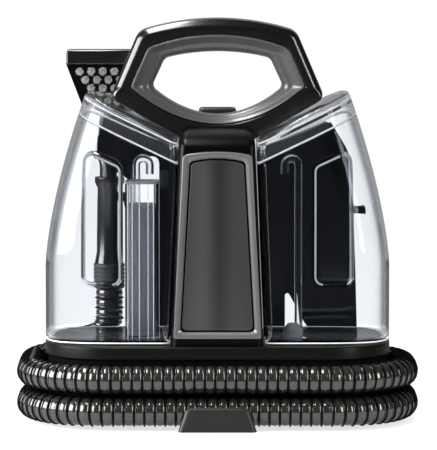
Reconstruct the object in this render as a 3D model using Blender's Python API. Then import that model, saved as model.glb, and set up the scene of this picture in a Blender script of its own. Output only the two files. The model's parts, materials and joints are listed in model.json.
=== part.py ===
"""Portable spot extractor: two clear tanks on a low base, a carry handle and a ribbed hose round the base.

Metres, +Z up. The front faces -Y, and the origin is on the floor under the middle of the machine.
"""

import math

import bmesh
import bpy
import numpy as np
from mathutils import Matrix, Vector

# Fits shared by all pieces
GAP = 0.0003
RUNNING_GAP = 0.0006
WALL = 0.003
TANK_WALL = 0.0024

# Hose
HOSE_DIAMETER = 0.0268
HOSE_WALL = 0.0039
HOSE_BORE = HOSE_DIAMETER - 2 * HOSE_WALL
HOSE_LOOP_GAP = 0.001
HOSE_LOOP_PITCH = HOSE_DIAMETER + HOSE_LOOP_GAP
HOSE_FLOOR_CLEARANCE = 0.0025
HOSE_SIDE_CLEARANCE = 0.0012
HOSE_RIB_PITCH = 0.0107
HOSE_RIB_DEPTH = 0.0016
HOSE_SIDES = 8

# Base, which is as high as two turns of hose under its flange
BASE_HALF_WIDTH = 0.1485
BASE_HALF_DEPTH = 0.072
BASE_CORNER = 0.058
FLANGE_OVERHANG = 0.0027
FLANGE_HEIGHT = 0.0105
FLANGE_CLEARANCE = 0.0029
BASE_TOP = HOSE_FLOOR_CLEARANCE + HOSE_LOOP_PITCH + HOSE_DIAMETER + FLANGE_CLEARANCE + FLANGE_HEIGHT
FOOT_HEIGHT = 0.0035
FOOT_RADIUS = 0.009
PLATE_THICKNESS = 0.003

# Central column and roof, in front view
COLUMN_HALF_TOP = 0.033
COLUMN_HALF_BOTTOM = 0.040
COLUMN_HALF_DEPTH = 0.066
COLUMN_HEIGHT = 0.172
COLUMN_TOP = BASE_TOP + COLUMN_HEIGHT
CAVITY_TOP = COLUMN_TOP - 0.0035
NECK_TOP = COLUMN_TOP + 0.0152
ROOF_SLOPE = 0.583
ROOF_LOW = COLUMN_TOP + 0.0052

# Grip hole and handle, in front view
HOLE_BOTTOM = NECK_TOP + 0.0108
HOLE_WIDE_LEVEL = HOLE_BOTTOM + 0.0242
HOLE_WIDE_HALF = 0.0576
HOLE_SHOULDER = HOLE_WIDE_LEVEL + 0.0251
HOLE_SHOULDER_HALF = 0.046
HOLE_TOP = HOLE_SHOULDER + 0.0057
HOLE_CORNER = 0.008
TRIM_BORDER = 0.0155
ROOF_HALF_WIDTH = HOLE_WIDE_HALF + 0.0364
HANDLE_BAR = 0.029
HANDLE_TOP = HOLE_TOP + HANDLE_BAR
HANDLE_SHOULDER = HANDLE_TOP - 0.011
HANDLE_SHOULDER_HALF = HOLE_SHOULDER_HALF + 0.0232
HANDLE_HALF_DEPTH = 0.020
HANDLE_CORNER = 0.016

# Tanks
TANK_OUTER_HALF = BASE_HALF_WIDTH + 0.0025
TANK_HALF_DEPTH = 0.062
TANK_FRONT_ROUNDING = 3.4
TANK_TAPER_LEVEL = BASE_TOP + 0.0655
TANK_TAPER_HEIGHT = 0.150
TANK_TAPER = 0.035
LID_HEIGHT = 0.019
LID_SKIN = 0.0026
LID_LOW = ROOF_LOW - 0.0018
LID_SLOPE = 0.479
LID_CROWN = 0.005
POCKET_INNER = 0.0867
POCKET_WIDTH = 0.033
POCKET_BOTTOM = BASE_TOP + 0.0425
POCKET_HEIGHT = 0.1055
POCKET_SLOPE = 0.45
POCKET_DEPTH = 0.022
POCKET_CORNER = 0.007

# Front bezel and panel
BEZEL_TOP = COLUMN_TOP - 0.0025
BEZEL_BOTTOM = BASE_TOP + 0.0067
BEZEL_HALF_TOP = COLUMN_HALF_TOP - 0.003
BEZEL_HALF_BOTTOM = COLUMN_HALF_BOTTOM - 0.0017
BEZEL_THICKNESS = 0.004
BEZEL_BORDER = 0.0062
BEZEL_CORNER = 0.010

# Wand and tool
WAND_X = -0.0975
WAND_GRIP_RADIUS = 0.014
WAND_GRIP_BOTTOM = 0.128
WAND_GRIP_LENGTH = 0.078
WAND_GRIP_TOP = WAND_GRIP_BOTTOM + WAND_GRIP_LENGTH
WAND_NECK_RADIUS = 0.0095
CLIP_RISE = 0.020
CLIP_LEVEL = WAND_GRIP_TOP + CLIP_RISE
CLIP_HEIGHT = 0.018
NECK_RISE = 0.018
WAND_NECK_TOP = CLIP_LEVEL + CLIP_HEIGHT + NECK_RISE
CUFF_HEIGHT = 0.022
TOOL_HALF_TOP = 0.038
TOOL_HALF_BOTTOM = 0.022
TOOL_BOTTOM = WAND_NECK_TOP + 0.004
TOOL_HEIGHT = 0.0545
TOOL_TOP = TOOL_BOTTOM + TOOL_HEIGHT
TOOL_HEADER = 0.013
TOOL_DEPTH = 0.020
TUFT_PITCH = 0.0103
TUFT_ROW_PITCH = 0.00745
TUFT_RADIUS = 0.0031
TUFT_LENGTH = 0.0075
TUFT_ROWS = (6, 5, 4, 3)
STRAND_RADIUS = 0.00042
STRANDS_PER_TUFT = 17

# Colours: red, green, blue, roughness, metallic
BLACK_PLASTIC = (0.012, 0.012, 0.011, 0.35, 0.0)
GREY_TRIM = (0.11, 0.11, 0.108, 0.32, 0.0)
PANEL_GREY = (0.06, 0.06, 0.061, 0.30, 0.0)
CLEAR_PLASTIC = (0.86, 0.89, 0.93, 0.05, 0.0)
HOSE_PLASTIC = (0.045, 0.045, 0.042, 0.25, 0.0)
RUBBER = (0.015, 0.015, 0.015, 0.8, 0.0)
BRISTLE = (0.55, 0.54, 0.52, 0.6, 0.0)
FLOAT_GREY = (0.30, 0.33, 0.36, 0.4, 0.0)
STEEL = (0.55, 0.55, 0.56, 0.35, 1.0)


def remove_startup_objects():
    for thing in list(bpy.data.objects):
        bpy.data.objects.remove(thing, do_unlink=True)


def material(name, look):
    """The Principled material of this name, made once."""
    found = bpy.data.materials.get(name)
    if found:
        return found
    made = bpy.data.materials.new(name)
    made.use_nodes = True
    shader = made.node_tree.nodes["Principled BSDF"]
    shader.inputs["Base Color"].default_value = (*look[:3], 1.0)
    shader.inputs["Roughness"].default_value = look[3]
    shader.inputs["Metallic"].default_value = look[4]
    return made


def add_object(name, shape, look, origin=(0.0, 0.0, 0.0)):
    """A named object from a bmesh in world places, with its own origin."""
    bmesh.ops.recalc_face_normals(shape, faces=shape.faces)
    bmesh.ops.translate(shape, verts=shape.verts, vec=-Vector(origin))
    mesh = bpy.data.meshes.new(name)
    shape.to_mesh(mesh)
    shape.free()
    mesh.shade_smooth()
    mesh.set_sharp_from_angle(angle=math.radians(32))
    mesh.materials.append(material(name + "_finish", look))
    thing = bpy.data.objects.new(name, mesh)
    thing.location = origin
    bpy.context.collection.objects.link(thing)
    return thing


def combine(thing, other, operation):
    """Boolean of two objects, kept in the first. The second one is used up."""
    modifier = thing.modifiers.new("cut", "BOOLEAN")
    modifier.operation = operation
    modifier.object = other
    bpy.context.view_layer.update()
    graph = bpy.context.evaluated_depsgraph_get()
    mesh = bpy.data.meshes.new_from_object(thing.evaluated_get(graph))
    thing.modifiers.remove(modifier)
    thing.data = mesh
    bpy.data.objects.remove(other, do_unlink=True)
    return thing


def cut(thing, shape):
    return combine(thing, add_object("cutter", shape, BLACK_PLASTIC), "DIFFERENCE")


def fuse(thing, shape):
    return combine(thing, add_object("addition", shape, BLACK_PLASTIC), "UNION")


def round_corners(corners, steps=4):
    """A closed outline from (u, v, radius) corners, with an arc at each one that has a radius."""
    outline = []
    count = len(corners)
    for index, (u, v, radius) in enumerate(corners):
        here = Vector((u, v))
        before = Vector(corners[index - 1][:2]) - here
        after = Vector(corners[(index + 1) % count][:2]) - here
        if radius <= 0.0:
            outline.append((u, v))
            continue
        half_angle = before.angle(after) / 2
        reach = min(radius / math.tan(half_angle), 0.48 * before.length, 0.48 * after.length)
        fitted = reach * math.tan(half_angle)
        middle = (before.normalized() + after.normalized()).normalized()
        centre = here + middle * (fitted / math.sin(half_angle))
        start = here + before.normalized() * reach - centre
        end = here + after.normalized() * reach - centre
        sweep = end.angle_signed(start)
        for step in range(steps + 1):
            arm = start.copy()
            arm.rotate(Matrix.Rotation(sweep * step / steps, 2))
            outline.append((centre.x + arm.x, centre.y + arm.y))
    return outline


def ring_body(rings, closed=False):
    """A body through rings of equal counts: capped at both ends, or joined end to end."""
    shape = bmesh.new()
    loops = [[shape.verts.new(point) for point in ring] for ring in rings]
    pairs = list(zip(loops, loops[1:]))
    if closed:
        pairs.append((loops[-1], loops[0]))
    for low, high in pairs:
        for index in range(len(low)):
            after = (index + 1) % len(low)
            shape.faces.new((low[index], low[after], high[after], high[index]))
    if not closed:
        shape.faces.new(loops[0])
        shape.faces.new(loops[-1])
    return shape


def front_slab(outline, front, back):
    """An outline in front view, (x, z), pushed through from one depth to another."""
    return ring_body([[(x, front, z) for x, z in outline], [(x, back, z) for x, z in outline]])


def plan_slab(outline, low, high):
    """An outline in plan, (x, y), pushed up from one height to another."""
    return ring_body([[(x, y, low) for x, y in outline], [(x, y, high) for x, y in outline]])


def block(low, high):
    """A box between two opposite corners."""
    corners = [(low[0], low[1]), (high[0], low[1]), (high[0], high[1]), (low[0], high[1])]
    return plan_slab(corners, low[2], high[2])


def turned(profile, centre, axis="Z", sides=16):
    """A profile of (radius, height) points turned about an axis through a centre, as one closed body."""
    turns = {
        "X": Matrix.Rotation(math.pi / 2, 4, "Y"),
        "Y": Matrix.Rotation(-math.pi / 2, 4, "X"),
        "Z": Matrix(),
    }
    place = Matrix.Translation(centre) @ turns[axis]
    rings = []
    for radius, height in profile:
        angles = [2 * math.pi * side / sides for side in range(sides)]
        rings.append([place @ Vector((radius * math.cos(a), radius * math.sin(a), height)) for a in angles])
    hollow = min(profile[0][0], profile[-1][0]) > 0 and profile[0] == profile[-1]
    if hollow:
        return ring_body(rings[:-1], closed=True)
    return ring_body(rings)


def rounded_rectangle(half_x, half_y, corner, steps=5):
    return round_corners(
        [
            (half_x, -half_y, corner),
            (half_x, half_y, corner),
            (-half_x, half_y, corner),
            (-half_x, -half_y, corner),
        ],
        steps,
    )


# Base

FLANGE_BOTTOM = BASE_TOP - FLANGE_HEIGHT
COLUMN_BASE = BASE_TOP + GAP


def base_outline(offset):
    """The base in plan, grown by an offset."""
    return rounded_rectangle(BASE_HALF_WIDTH + offset, BASE_HALF_DEPTH + offset, BASE_CORNER + offset, 6)


def make_base_tray():
    levels = [
        (FOOT_HEIGHT, 0.0),
        (FLANGE_BOTTOM - FLANGE_OVERHANG, 0.0),
        (FLANGE_BOTTOM, FLANGE_OVERHANG),
        (BASE_TOP - WALL / 2, FLANGE_OVERHANG),
        (BASE_TOP, FLANGE_OVERHANG - WALL / 2),
    ]
    tray = add_object(
        "base_tray",
        ring_body([[(x, y, z) for x, y in base_outline(offset)] for z, offset in levels]),
        BLACK_PLASTIC,
    )
    hollow_bottom = FOOT_HEIGHT - WALL
    cut(tray, plan_slab(base_outline(-WALL), hollow_bottom, BASE_TOP - WALL))
    duct = rounded_rectangle(COLUMN_HALF_BOTTOM - 3 * WALL, COLUMN_HALF_DEPTH - 3 * WALL, WALL, 2)
    cut(tray, plan_slab(duct, BASE_TOP - 2 * WALL, BASE_TOP + WALL))
    return tray


def make_bottom_plate():
    outline = base_outline(-WALL - GAP)
    add_object("bottom_plate", plan_slab(outline, FOOT_HEIGHT, FOOT_HEIGHT + PLATE_THICKNESS), BLACK_PLASTIC)


def make_feet():
    reach_x = BASE_HALF_WIDTH - BASE_CORNER + FOOT_RADIUS
    reach_y = BASE_HALF_DEPTH - WALL - 2 * FOOT_RADIUS
    for side, x in (("left", -reach_x), ("right", reach_x)):
        for end, y in (("front", -reach_y), ("rear", reach_y)):
            profile = [(FOOT_RADIUS * 0.85, 0.0), (FOOT_RADIUS, FOOT_HEIGHT / 2)]
            profile.append((FOOT_RADIUS, FOOT_HEIGHT - GAP))
            add_object(f"foot_{end}_{side}", turned(profile, (x, y, 0.0), sides=16), RUBBER, (x, y, 0.0))


# Hose

HOSE_RADIUS = HOSE_DIAMETER / 2
LOOP_OFFSET = HOSE_SIDE_CLEARANCE + HOSE_RADIUS
LOOP_HALF_WIDTH = BASE_HALF_WIDTH + LOOP_OFFSET
LOOP_HALF_DEPTH = BASE_HALF_DEPTH + LOOP_OFFSET
LOOP_CORNER = BASE_CORNER + LOOP_OFFSET
LOOP_RUN_X = LOOP_HALF_WIDTH - LOOP_CORNER
LOOP_RUN_Y = LOOP_HALF_DEPTH - LOOP_CORNER
LOOP_ARC = math.pi / 2 * LOOP_CORNER
LOOP_LENGTH = 4 * (LOOP_RUN_X + LOOP_RUN_Y + LOOP_ARC)
LOWER_LEVEL = HOSE_FLOOR_CLEARANCE + HOSE_RADIUS
UPPER_LEVEL = LOWER_LEVEL + HOSE_LOOP_PITCH
OUTLET_LENGTH = 0.036
OUTLET_FACE = 0.032
OUTLET_RADIUS = HOSE_RADIUS + 0.0004
CLIMB_END = -0.013
LIP_GAP = 0.0008
LIP_THICKNESS = 0.0035
LIP_HEIGHT = 0.021
LIP_HALF_BOTTOM = 0.034
LIP_HALF_TOP = 0.027
LIP_FRONT = LOOP_HALF_DEPTH + HOSE_RADIUS + LIP_GAP + LIP_THICKNESS
WAND_Y = LIP_FRONT - WAND_GRIP_RADIUS
CUFF_BOTTOM = WAND_GRIP_BOTTOM - CUFF_HEIGHT


def loop_point(travel):
    """A point of the hose loop in plan. Travel starts at the middle of the back and goes to the right."""
    rest = travel % LOOP_LENGTH
    runs = [LOOP_RUN_X, 2 * LOOP_RUN_Y, 2 * LOOP_RUN_X, 2 * LOOP_RUN_Y, LOOP_RUN_X]
    corner_centres = [
        (LOOP_RUN_X, LOOP_RUN_Y),
        (LOOP_RUN_X, -LOOP_RUN_Y),
        (-LOOP_RUN_X, -LOOP_RUN_Y),
        (-LOOP_RUN_X, LOOP_RUN_Y),
    ]
    here = Vector((0.0, LOOP_HALF_DEPTH))
    for leg, run in enumerate(runs):
        heading = -leg * math.pi / 2
        along = Vector((math.cos(heading), math.sin(heading)))
        if rest <= run or leg == len(runs) - 1:
            return here + along * rest
        rest -= run
        if rest <= LOOP_ARC:
            angle = heading + math.pi / 2 - rest / LOOP_CORNER
            arm = Vector((math.cos(angle), math.sin(angle)))
            return Vector(corner_centres[leg]) + LOOP_CORNER * arm
        rest -= LOOP_ARC
        here = Vector(corner_centres[leg]) + LOOP_CORNER * along


def loop_level(travel):
    """Height of the hose: the lower loop, then a climb along the back, then the upper loop."""
    climb_start = LOOP_LENGTH - LOOP_RUN_X
    climb_end = LOOP_LENGTH + CLIMB_END
    share = min(max((travel - climb_start) / (climb_end - climb_start), 0.0), 1.0)
    return LOWER_LEVEL + HOSE_LOOP_PITCH * share * share * (3 - 2 * share)


COIL_START = OUTLET_FACE + GAP
COIL_END = 2 * LOOP_LENGTH - LOOP_RUN_X - LOOP_ARC


def coil_route(step):
    count = round((COIL_END - COIL_START) / step)
    travels = np.linspace(COIL_START, COIL_END, count + 1)
    return [Vector((*loop_point(travel), loop_level(travel))) for travel in travels]


def riser_route(step):
    """From the end of the coil on the left side, up behind the left tank and straight into the wand's cuff."""
    start = Vector((-LOOP_HALF_WIDTH, LOOP_RUN_Y + GAP, UPPER_LEVEL))
    straight = HOSE_DIAMETER
    bend_start = start + Vector((0.0, straight, 0.0))
    end = Vector((WAND_X, WAND_Y, CUFF_BOTTOM - GAP))
    bend_end = end - Vector((0.0, 0.0, straight))
    pull = 0.62 * (bend_end - bend_start).length
    first = bend_start + Vector((0.0, pull * 0.72, 0.0))
    second = bend_end - Vector((0.0, 0.0, pull * 0.5))
    fine = [start, bend_start]
    for share in np.linspace(0.0, 1.0, 60)[1:]:
        left = 1 - share
        fine.append(
            bend_start * left**3
            + first * 3 * left**2 * share
            + second * 3 * left * share**2
            + bend_end * share**3
        )
    fine.append(end)
    return even_steps(fine, step)


def even_steps(points, step):
    """The same line with points at even steps along it."""
    lengths = [0.0]
    for before, after in zip(points, points[1:]):
        lengths.append(lengths[-1] + (after - before).length)
    count = round(lengths[-1] / step)
    wanted = np.linspace(0.0, lengths[-1], count + 1)
    table = np.array([tuple(point) for point in points])
    return [Vector([np.interp(at, lengths, table[:, k]) for k in range(3)]) for at in wanted]


def tube_rings(route, radii, sides):
    """Rings square to a route, carried along it without twist."""
    tangents = []
    for index in range(len(route)):
        before = route[max(index - 1, 0)]
        after = route[min(index + 1, len(route) - 1)]
        tangents.append((after - before).normalized())
    across = tangents[0].orthogonal().normalized()
    rings = []
    for point, tangent, radius in zip(route, tangents, radii):
        across = (across - tangent * across.dot(tangent)).normalized()
        other = tangent.cross(across)
        ring = []
        for side in range(sides):
            angle = 2 * math.pi * (side + 0.5) / sides
            ring.append(point + radius * (across * math.cos(angle) + other * math.sin(angle)))
        rings.append(ring)
    return rings


def ribbed_hose(name, route_maker):
    """A hose with a crest and a groove to each rib, and an open bore with a ring every third rib."""
    route = route_maker(HOSE_RIB_PITCH / 2)
    flat = 1 / math.cos(math.pi / HOSE_SIDES)
    radii = [HOSE_RADIUS if index % 2 else HOSE_RADIUS - HOSE_RIB_DEPTH for index in range(len(route))]
    outside = tube_rings(route, radii, HOSE_SIDES)
    bore_every = 6
    picked = sorted({*range(0, len(route), bore_every), len(route) - 1})
    inside = tube_rings(route, [HOSE_BORE / 2 * flat] * len(route), HOSE_SIDES)
    rings = outside + [inside[index] for index in reversed(picked)]
    add_object(name, ring_body(rings, closed=True), HOSE_PLASTIC)
    return route


def least_gap(route):
    """The least space between stretches of hose that aren't next to each other along it."""
    points = np.array([tuple(point) for point in route])
    spans = np.linalg.norm(points[:, None] - points[None], axis=2)
    step = np.linalg.norm(points[1] - points[0])
    apart = np.abs(np.subtract.outer(np.arange(len(points)), np.arange(len(points)))) * step
    return spans[apart > 3 * HOSE_DIAMETER].min() - HOSE_DIAMETER


def make_hose():
    coil = ribbed_hose("hose_coil", coil_route)
    riser = ribbed_hose("hose_riser", riser_route)
    print(f"least gap of the hose to itself: {1000 * least_gap(coil + riser):.2f} mm")


def make_hose_outlet():
    """Port on the back of the base: a socket that the hose starts from, on a pad against the wall."""
    centre = (0.0, LOOP_HALF_DEPTH, LOWER_LEVEL)
    tail = OUTLET_FACE - OUTLET_LENGTH
    profile = [(HOSE_BORE / 2, OUTLET_FACE), (OUTLET_RADIUS, OUTLET_FACE), (OUTLET_RADIUS, tail)]
    profile += [(HOSE_BORE / 2, tail), (HOSE_BORE / 2, OUTLET_FACE)]
    outlet = add_object("hose_outlet", turned(profile, centre, "X", 16), BLACK_PLASTIC)
    pad_low = (tail, BASE_HALF_DEPTH + GAP, LOWER_LEVEL - HOSE_BORE / 2)
    pad_high = (OUTLET_FACE, LOOP_HALF_DEPTH - HOSE_BORE / 2 - WALL / 2, LOWER_LEVEL + HOSE_BORE / 2)
    fuse(outlet, block(pad_low, pad_high))


def make_hose_lip():
    """Lip in front of the lower loop, on a tongue that runs back under the base."""
    low = GAP
    upright = round_corners(
        [
            (-LIP_HALF_BOTTOM, low, 0.0),
            (LIP_HALF_BOTTOM, low, 0.0),
            (LIP_HALF_TOP, LIP_HEIGHT, 0.006),
            (-LIP_HALF_TOP, LIP_HEIGHT, 0.006),
        ]
    )
    lip = add_object("hose_lip", front_slab(upright, -LIP_FRONT, -LIP_FRONT + LIP_THICKNESS), BLACK_PLASTIC)
    tongue_back = -BASE_HALF_DEPTH + 4 * WALL
    tongue_top = HOSE_FLOOR_CLEARANCE - 2 * GAP
    half = LIP_HALF_TOP
    fuse(lip, block((-half, -LIP_FRONT + LIP_THICKNESS / 2, low), (half, tongue_back, tongue_top)))


# Housing: column, roof and handle

BEZEL_FRONT = COLUMN_HALF_DEPTH + GAP + BEZEL_THICKNESS
TRIM_SETBACK = 0.0005
TRIM_FLAT = 0.006
HANDLE_EDGE = 0.0045
ROOF_TIP = 0.008
BUTTON_HALF_WIDTH = 0.0165
BUTTON_FRONT = 0.026
BUTTON_BACK = 0.050
BUTTON_TOP = HOLE_BOTTOM + 0.003
BUTTON_TRAVEL = 0.003
BUTTON_BOTTOM = CAVITY_TOP + 0.002
GLAND_LEVEL = BASE_TOP + 0.0175
GLAND_RADIUS = 0.008
VENT_HALF_WIDTH = 0.020
VENT_HEIGHT = 0.060
VENT_BOTTOM = GLAND_LEVEL + GLAND_RADIUS + 0.010
VENT_TOP = VENT_BOTTOM + VENT_HEIGHT


def column_half(z):
    """Half width of the column at a height."""
    share = (z - COLUMN_BASE) / (COLUMN_TOP - COLUMN_BASE)
    return COLUMN_HALF_BOTTOM + (COLUMN_HALF_TOP - COLUMN_HALF_BOTTOM) * min(share, 1.0)


def roof_level(x):
    """Height of the roof's underside over the tanks."""
    return ROOF_LOW + ROOF_SLOPE * (abs(x) - COLUMN_HALF_TOP)


def arch(half, end_level, middle_level, steps=5):
    """Points of a shallow bow from its right end to its middle."""
    rise = middle_level - end_level
    xs = [half * (1 - step / steps) for step in range(steps + 1)]
    return [(x, middle_level - rise * (x / half) ** 2) for x in xs]


def handle_outline():
    stem = COLUMN_HALF_TOP - 2 * HANDLE_EDGE
    corners = [(stem, CAVITY_TOP - WALL, 0.0)]
    corners.append((stem, roof_level(stem), 0.0))
    corners.append((ROOF_HALF_WIDTH, roof_level(ROOF_HALF_WIDTH), ROOF_TIP))
    bow = arch(HANDLE_SHOULDER_HALF, HANDLE_SHOULDER, HANDLE_TOP)
    corners.append((*bow[0], HANDLE_CORNER))
    corners += [(x, z, 0.0) for x, z in bow[1:]]
    right = corners
    left = [(-x, z, radius) for x, z, radius in reversed(right) if x > 0]
    return round_corners(right + left)


def grip_outline(border):
    """The grip hole in front view, grown by a border."""
    wide_half = HOLE_WIDE_HALF + border * 1.2
    shoulder_half = HOLE_SHOULDER_HALF + border * 0.95
    shoulder = HOLE_SHOULDER + border * 0.65
    low = arch(wide_half, HOLE_WIDE_LEVEL, HOLE_BOTTOM - border * 0.5, 6)
    high = arch(shoulder_half, shoulder, HOLE_TOP + border, 5)
    right = [(x, z, 0.0) for x, z in reversed(low)]
    right[-1] = (*right[-1][:2], HOLE_CORNER * 0.6)
    right.append((*high[0], HOLE_CORNER + border * 0.5))
    right += [(x, z, 0.0) for x, z in high[1:]]
    left = [(-x, z, radius) for x, z, radius in reversed(right) if x > 0]
    return round_corners(right + left)


def inset(outline, distance):
    """A closed outline drawn in by a distance at every point."""
    drawn = []
    count = len(outline)
    area = sum(
        outline[i - 1][0] * outline[i][1] - outline[i][0] * outline[i - 1][1] for i in range(count)
    )
    turn = 1.0 if area > 0 else -1.0
    for index, (u, v) in enumerate(outline):
        before = Vector(outline[index - 1])
        after = Vector(outline[(index + 1) % count])
        along = (after - before).normalized()
        inward = Vector((-along.y, along.x)) * turn
        drawn.append((u + inward.x * distance, v + inward.y * distance))
    return drawn


def column_ring(z, half, depth, corner=0.006):
    """One level of the column, a rounded rectangle in plan."""
    return [(x, y, z) for x, y in rounded_rectangle(half, depth, corner, 3)]


def housing_body():
    """The whole housing in one piece, before it is parted."""
    outline = handle_outline()
    depths = [
        (-HANDLE_HALF_DEPTH, HANDLE_EDGE),
        (-HANDLE_HALF_DEPTH + HANDLE_EDGE / 3, HANDLE_EDGE / 3),
        (-HANDLE_HALF_DEPTH + HANDLE_EDGE, 0.0),
    ]
    depths += [(-y, drawn) for y, drawn in reversed(depths)]
    rings = [[(x, y, z) for x, z in inset(outline, drawn)] for y, drawn in depths]
    body = add_object("housing_front", ring_body(rings), BLACK_PLASTIC)
    depth = COLUMN_HALF_DEPTH
    levels = [
        (COLUMN_BASE, COLUMN_HALF_BOTTOM, depth),
        (COLUMN_TOP, COLUMN_HALF_TOP, depth),
        (COLUMN_TOP + 0.0085, COLUMN_HALF_TOP - 0.001, depth - 0.003),
        (COLUMN_TOP + 0.0125, COLUMN_HALF_TOP - 0.004, depth - 0.011),
        (NECK_TOP, COLUMN_HALF_TOP - 0.008, HANDLE_HALF_DEPTH + 0.004),
    ]
    reach = 2 * COLUMN_HALF_DEPTH
    cut(body, front_slab(grip_outline(TRIM_BORDER + GAP), -reach, reach))
    fuse(body, ring_body([column_ring(*level) for level in levels]))
    hollow_low = COLUMN_BASE - WALL
    hollow = [
        column_ring(hollow_low, COLUMN_HALF_BOTTOM - WALL, depth - WALL, 0.003),
        column_ring(CAVITY_TOP, column_half(CAVITY_TOP) - WALL, depth - WALL, 0.003),
    ]
    cut(body, ring_body(hollow))
    return body


def make_housing():
    front = housing_body()
    rear = front.copy()
    rear.data = front.data.copy()
    rear.name = "housing_rear"
    bpy.context.collection.objects.link(rear)
    reach = 2 * HANDLE_TOP
    cut(front, block((-reach, -GAP / 2, -reach), (reach, reach, reach)))
    cut(rear, block((-reach, -reach, -reach), (reach, GAP / 2, reach)))
    low = (-BUTTON_HALF_WIDTH - GAP, BUTTON_FRONT - GAP, CAVITY_TOP - WALL)
    high = (BUTTON_HALF_WIDTH + GAP, BUTTON_BACK + GAP, HANDLE_TOP)
    cut(rear, block(low, high))
    vent_low = (-VENT_HALF_WIDTH, COLUMN_HALF_DEPTH - 2 * WALL, VENT_BOTTOM)
    vent_high = (VENT_HALF_WIDTH, COLUMN_HALF_DEPTH + WALL, VENT_TOP)
    cut(rear, block(vent_low, vent_high))


def make_handle_trim():
    """Ring that lines the grip hole, flared to the front and to the back."""
    mouth = HANDLE_HALF_DEPTH - TRIM_SETBACK
    wide = grip_outline(TRIM_BORDER)
    narrow = grip_outline(0.0)
    half_way = grip_outline(TRIM_BORDER * 0.35)
    rings = [
        [(x, -mouth, z) for x, z in wide],
        [(x, -TRIM_FLAT * 2, z) for x, z in half_way],
        [(x, -TRIM_FLAT / 2, z) for x, z in narrow],
        [(x, TRIM_FLAT / 2, z) for x, z in narrow],
        [(x, TRIM_FLAT * 2, z) for x, z in half_way],
        [(x, mouth, z) for x, z in wide],
    ]
    add_object("handle_trim", ring_body(rings, closed=True), GREY_TRIM)


def make_power_button():
    outline = rounded_rectangle(BUTTON_HALF_WIDTH, (BUTTON_BACK - BUTTON_FRONT) / 2, 0.004, 2)
    middle = (BUTTON_FRONT + BUTTON_BACK) / 2
    levels = [(BUTTON_BOTTOM, 0.0), (BUTTON_TOP - 0.0015, 0.0), (BUTTON_TOP, 0.002)]
    rings = [[(x, y + middle, z) for x, y in inset(outline, drawn)] for z, drawn in levels]
    add_object("power_button", ring_body(rings), GREY_TRIM, (0.0, middle, BUTTON_BOTTOM))


def bezel_outline(border):
    """The front bezel in front view, drawn in by a border."""
    low = BEZEL_BOTTOM + border
    high = BEZEL_TOP - border
    corners = [
        (BEZEL_HALF_BOTTOM - border, low, 0.002 + border * 0.5),
        (BEZEL_HALF_TOP - border, high - 0.003, BEZEL_CORNER),
        (0.0, high, 0.0),
    ]
    left = [(-x, z, radius) for x, z, radius in reversed(corners) if x > 0]
    return round_corners(corners + left)


def make_front_trim():
    back = -COLUMN_HALF_DEPTH - GAP
    outer = bezel_outline(0.0)
    bevelled = bezel_outline(BEZEL_THICKNESS / 4)
    inner_front = bezel_outline(BEZEL_BORDER - BEZEL_THICKNESS / 4)
    inner = bezel_outline(BEZEL_BORDER)
    front = -BEZEL_FRONT
    rings = [
        [(x, back, z) for x, z in outer],
        [(x, front + BEZEL_THICKNESS / 3, z) for x, z in outer],
        [(x, front, z) for x, z in bevelled],
        [(x, front, z) for x, z in inner_front],
        [(x, back, z) for x, z in inner],
    ]
    add_object("front_bezel", ring_body(rings, closed=True), GREY_TRIM)
    plate = bezel_outline(BEZEL_BORDER + GAP)
    add_object("front_panel", front_slab(plate, back - BEZEL_THICKNESS * 0.6, back), PANEL_GREY)


def make_exhaust_grille():
    """Louvred plate over the opening in the back of the column."""
    inner = COLUMN_HALF_DEPTH + GAP
    outer = inner + WALL
    border = 0.005
    outline = rounded_rectangle(VENT_HALF_WIDTH + border, (VENT_TOP - VENT_BOTTOM) / 2 + border, 0.004, 2)
    middle = (VENT_TOP + VENT_BOTTOM) / 2
    shifted = [(x, z + middle) for x, z in outline]
    grille = add_object("exhaust_grille", front_slab(shifted, inner, outer), BLACK_PLASTIC)
    slots = 6
    pitch = (VENT_TOP - VENT_BOTTOM) / slots
    half_slot = pitch * 0.3
    for index in range(slots):
        z = VENT_BOTTOM + pitch * (index + 0.5)
        low = (-VENT_HALF_WIDTH + border, inner - WALL, z - half_slot)
        high = (VENT_HALF_WIDTH - border, outer + WALL, z + half_slot)
        cut(grille, block(low, high))


# Tanks

TANK_FLOOR = BASE_TOP + RUNNING_GAP
TANK_SIDE_GAP = 0.0008
TANK_INNER_CHAMFER = 0.007
STANDPIPE_X = 0.066
STANDPIPE_Y = -0.020
STANDPIPE_HALF = 0.0147
STANDPIPE_WALL = 0.0016
FLOAT_TOP = 0.1875
FLOAT_GAP = 0.0012
FLOAT_TRAVEL = 0.0155
STANDPIPE_TOP = FLOAT_TOP + FLOAT_TRAVEL + 2 * WALL
SEAL_THICKNESS = 0.002
HOOK_X = 0.0715
HOOK_Y = 0.006
HOOK_TOP = LID_LOW - 0.0170
HOOK_REACH = 0.012
HOOK_DROP = 0.008
HOOK_TUBE_RADIUS = 0.0036
VALVE_RADIUS = 0.009
VALVE_HEIGHT = 0.012


def tank_outer(z):
    """Distance of the tank's outer side from the middle, at a height."""
    over = max(z - TANK_TAPER_LEVEL, 0.0)
    return TANK_OUTER_HALF - TANK_TAPER * (over / TANK_TAPER_HEIGHT) ** 1.5


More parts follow.
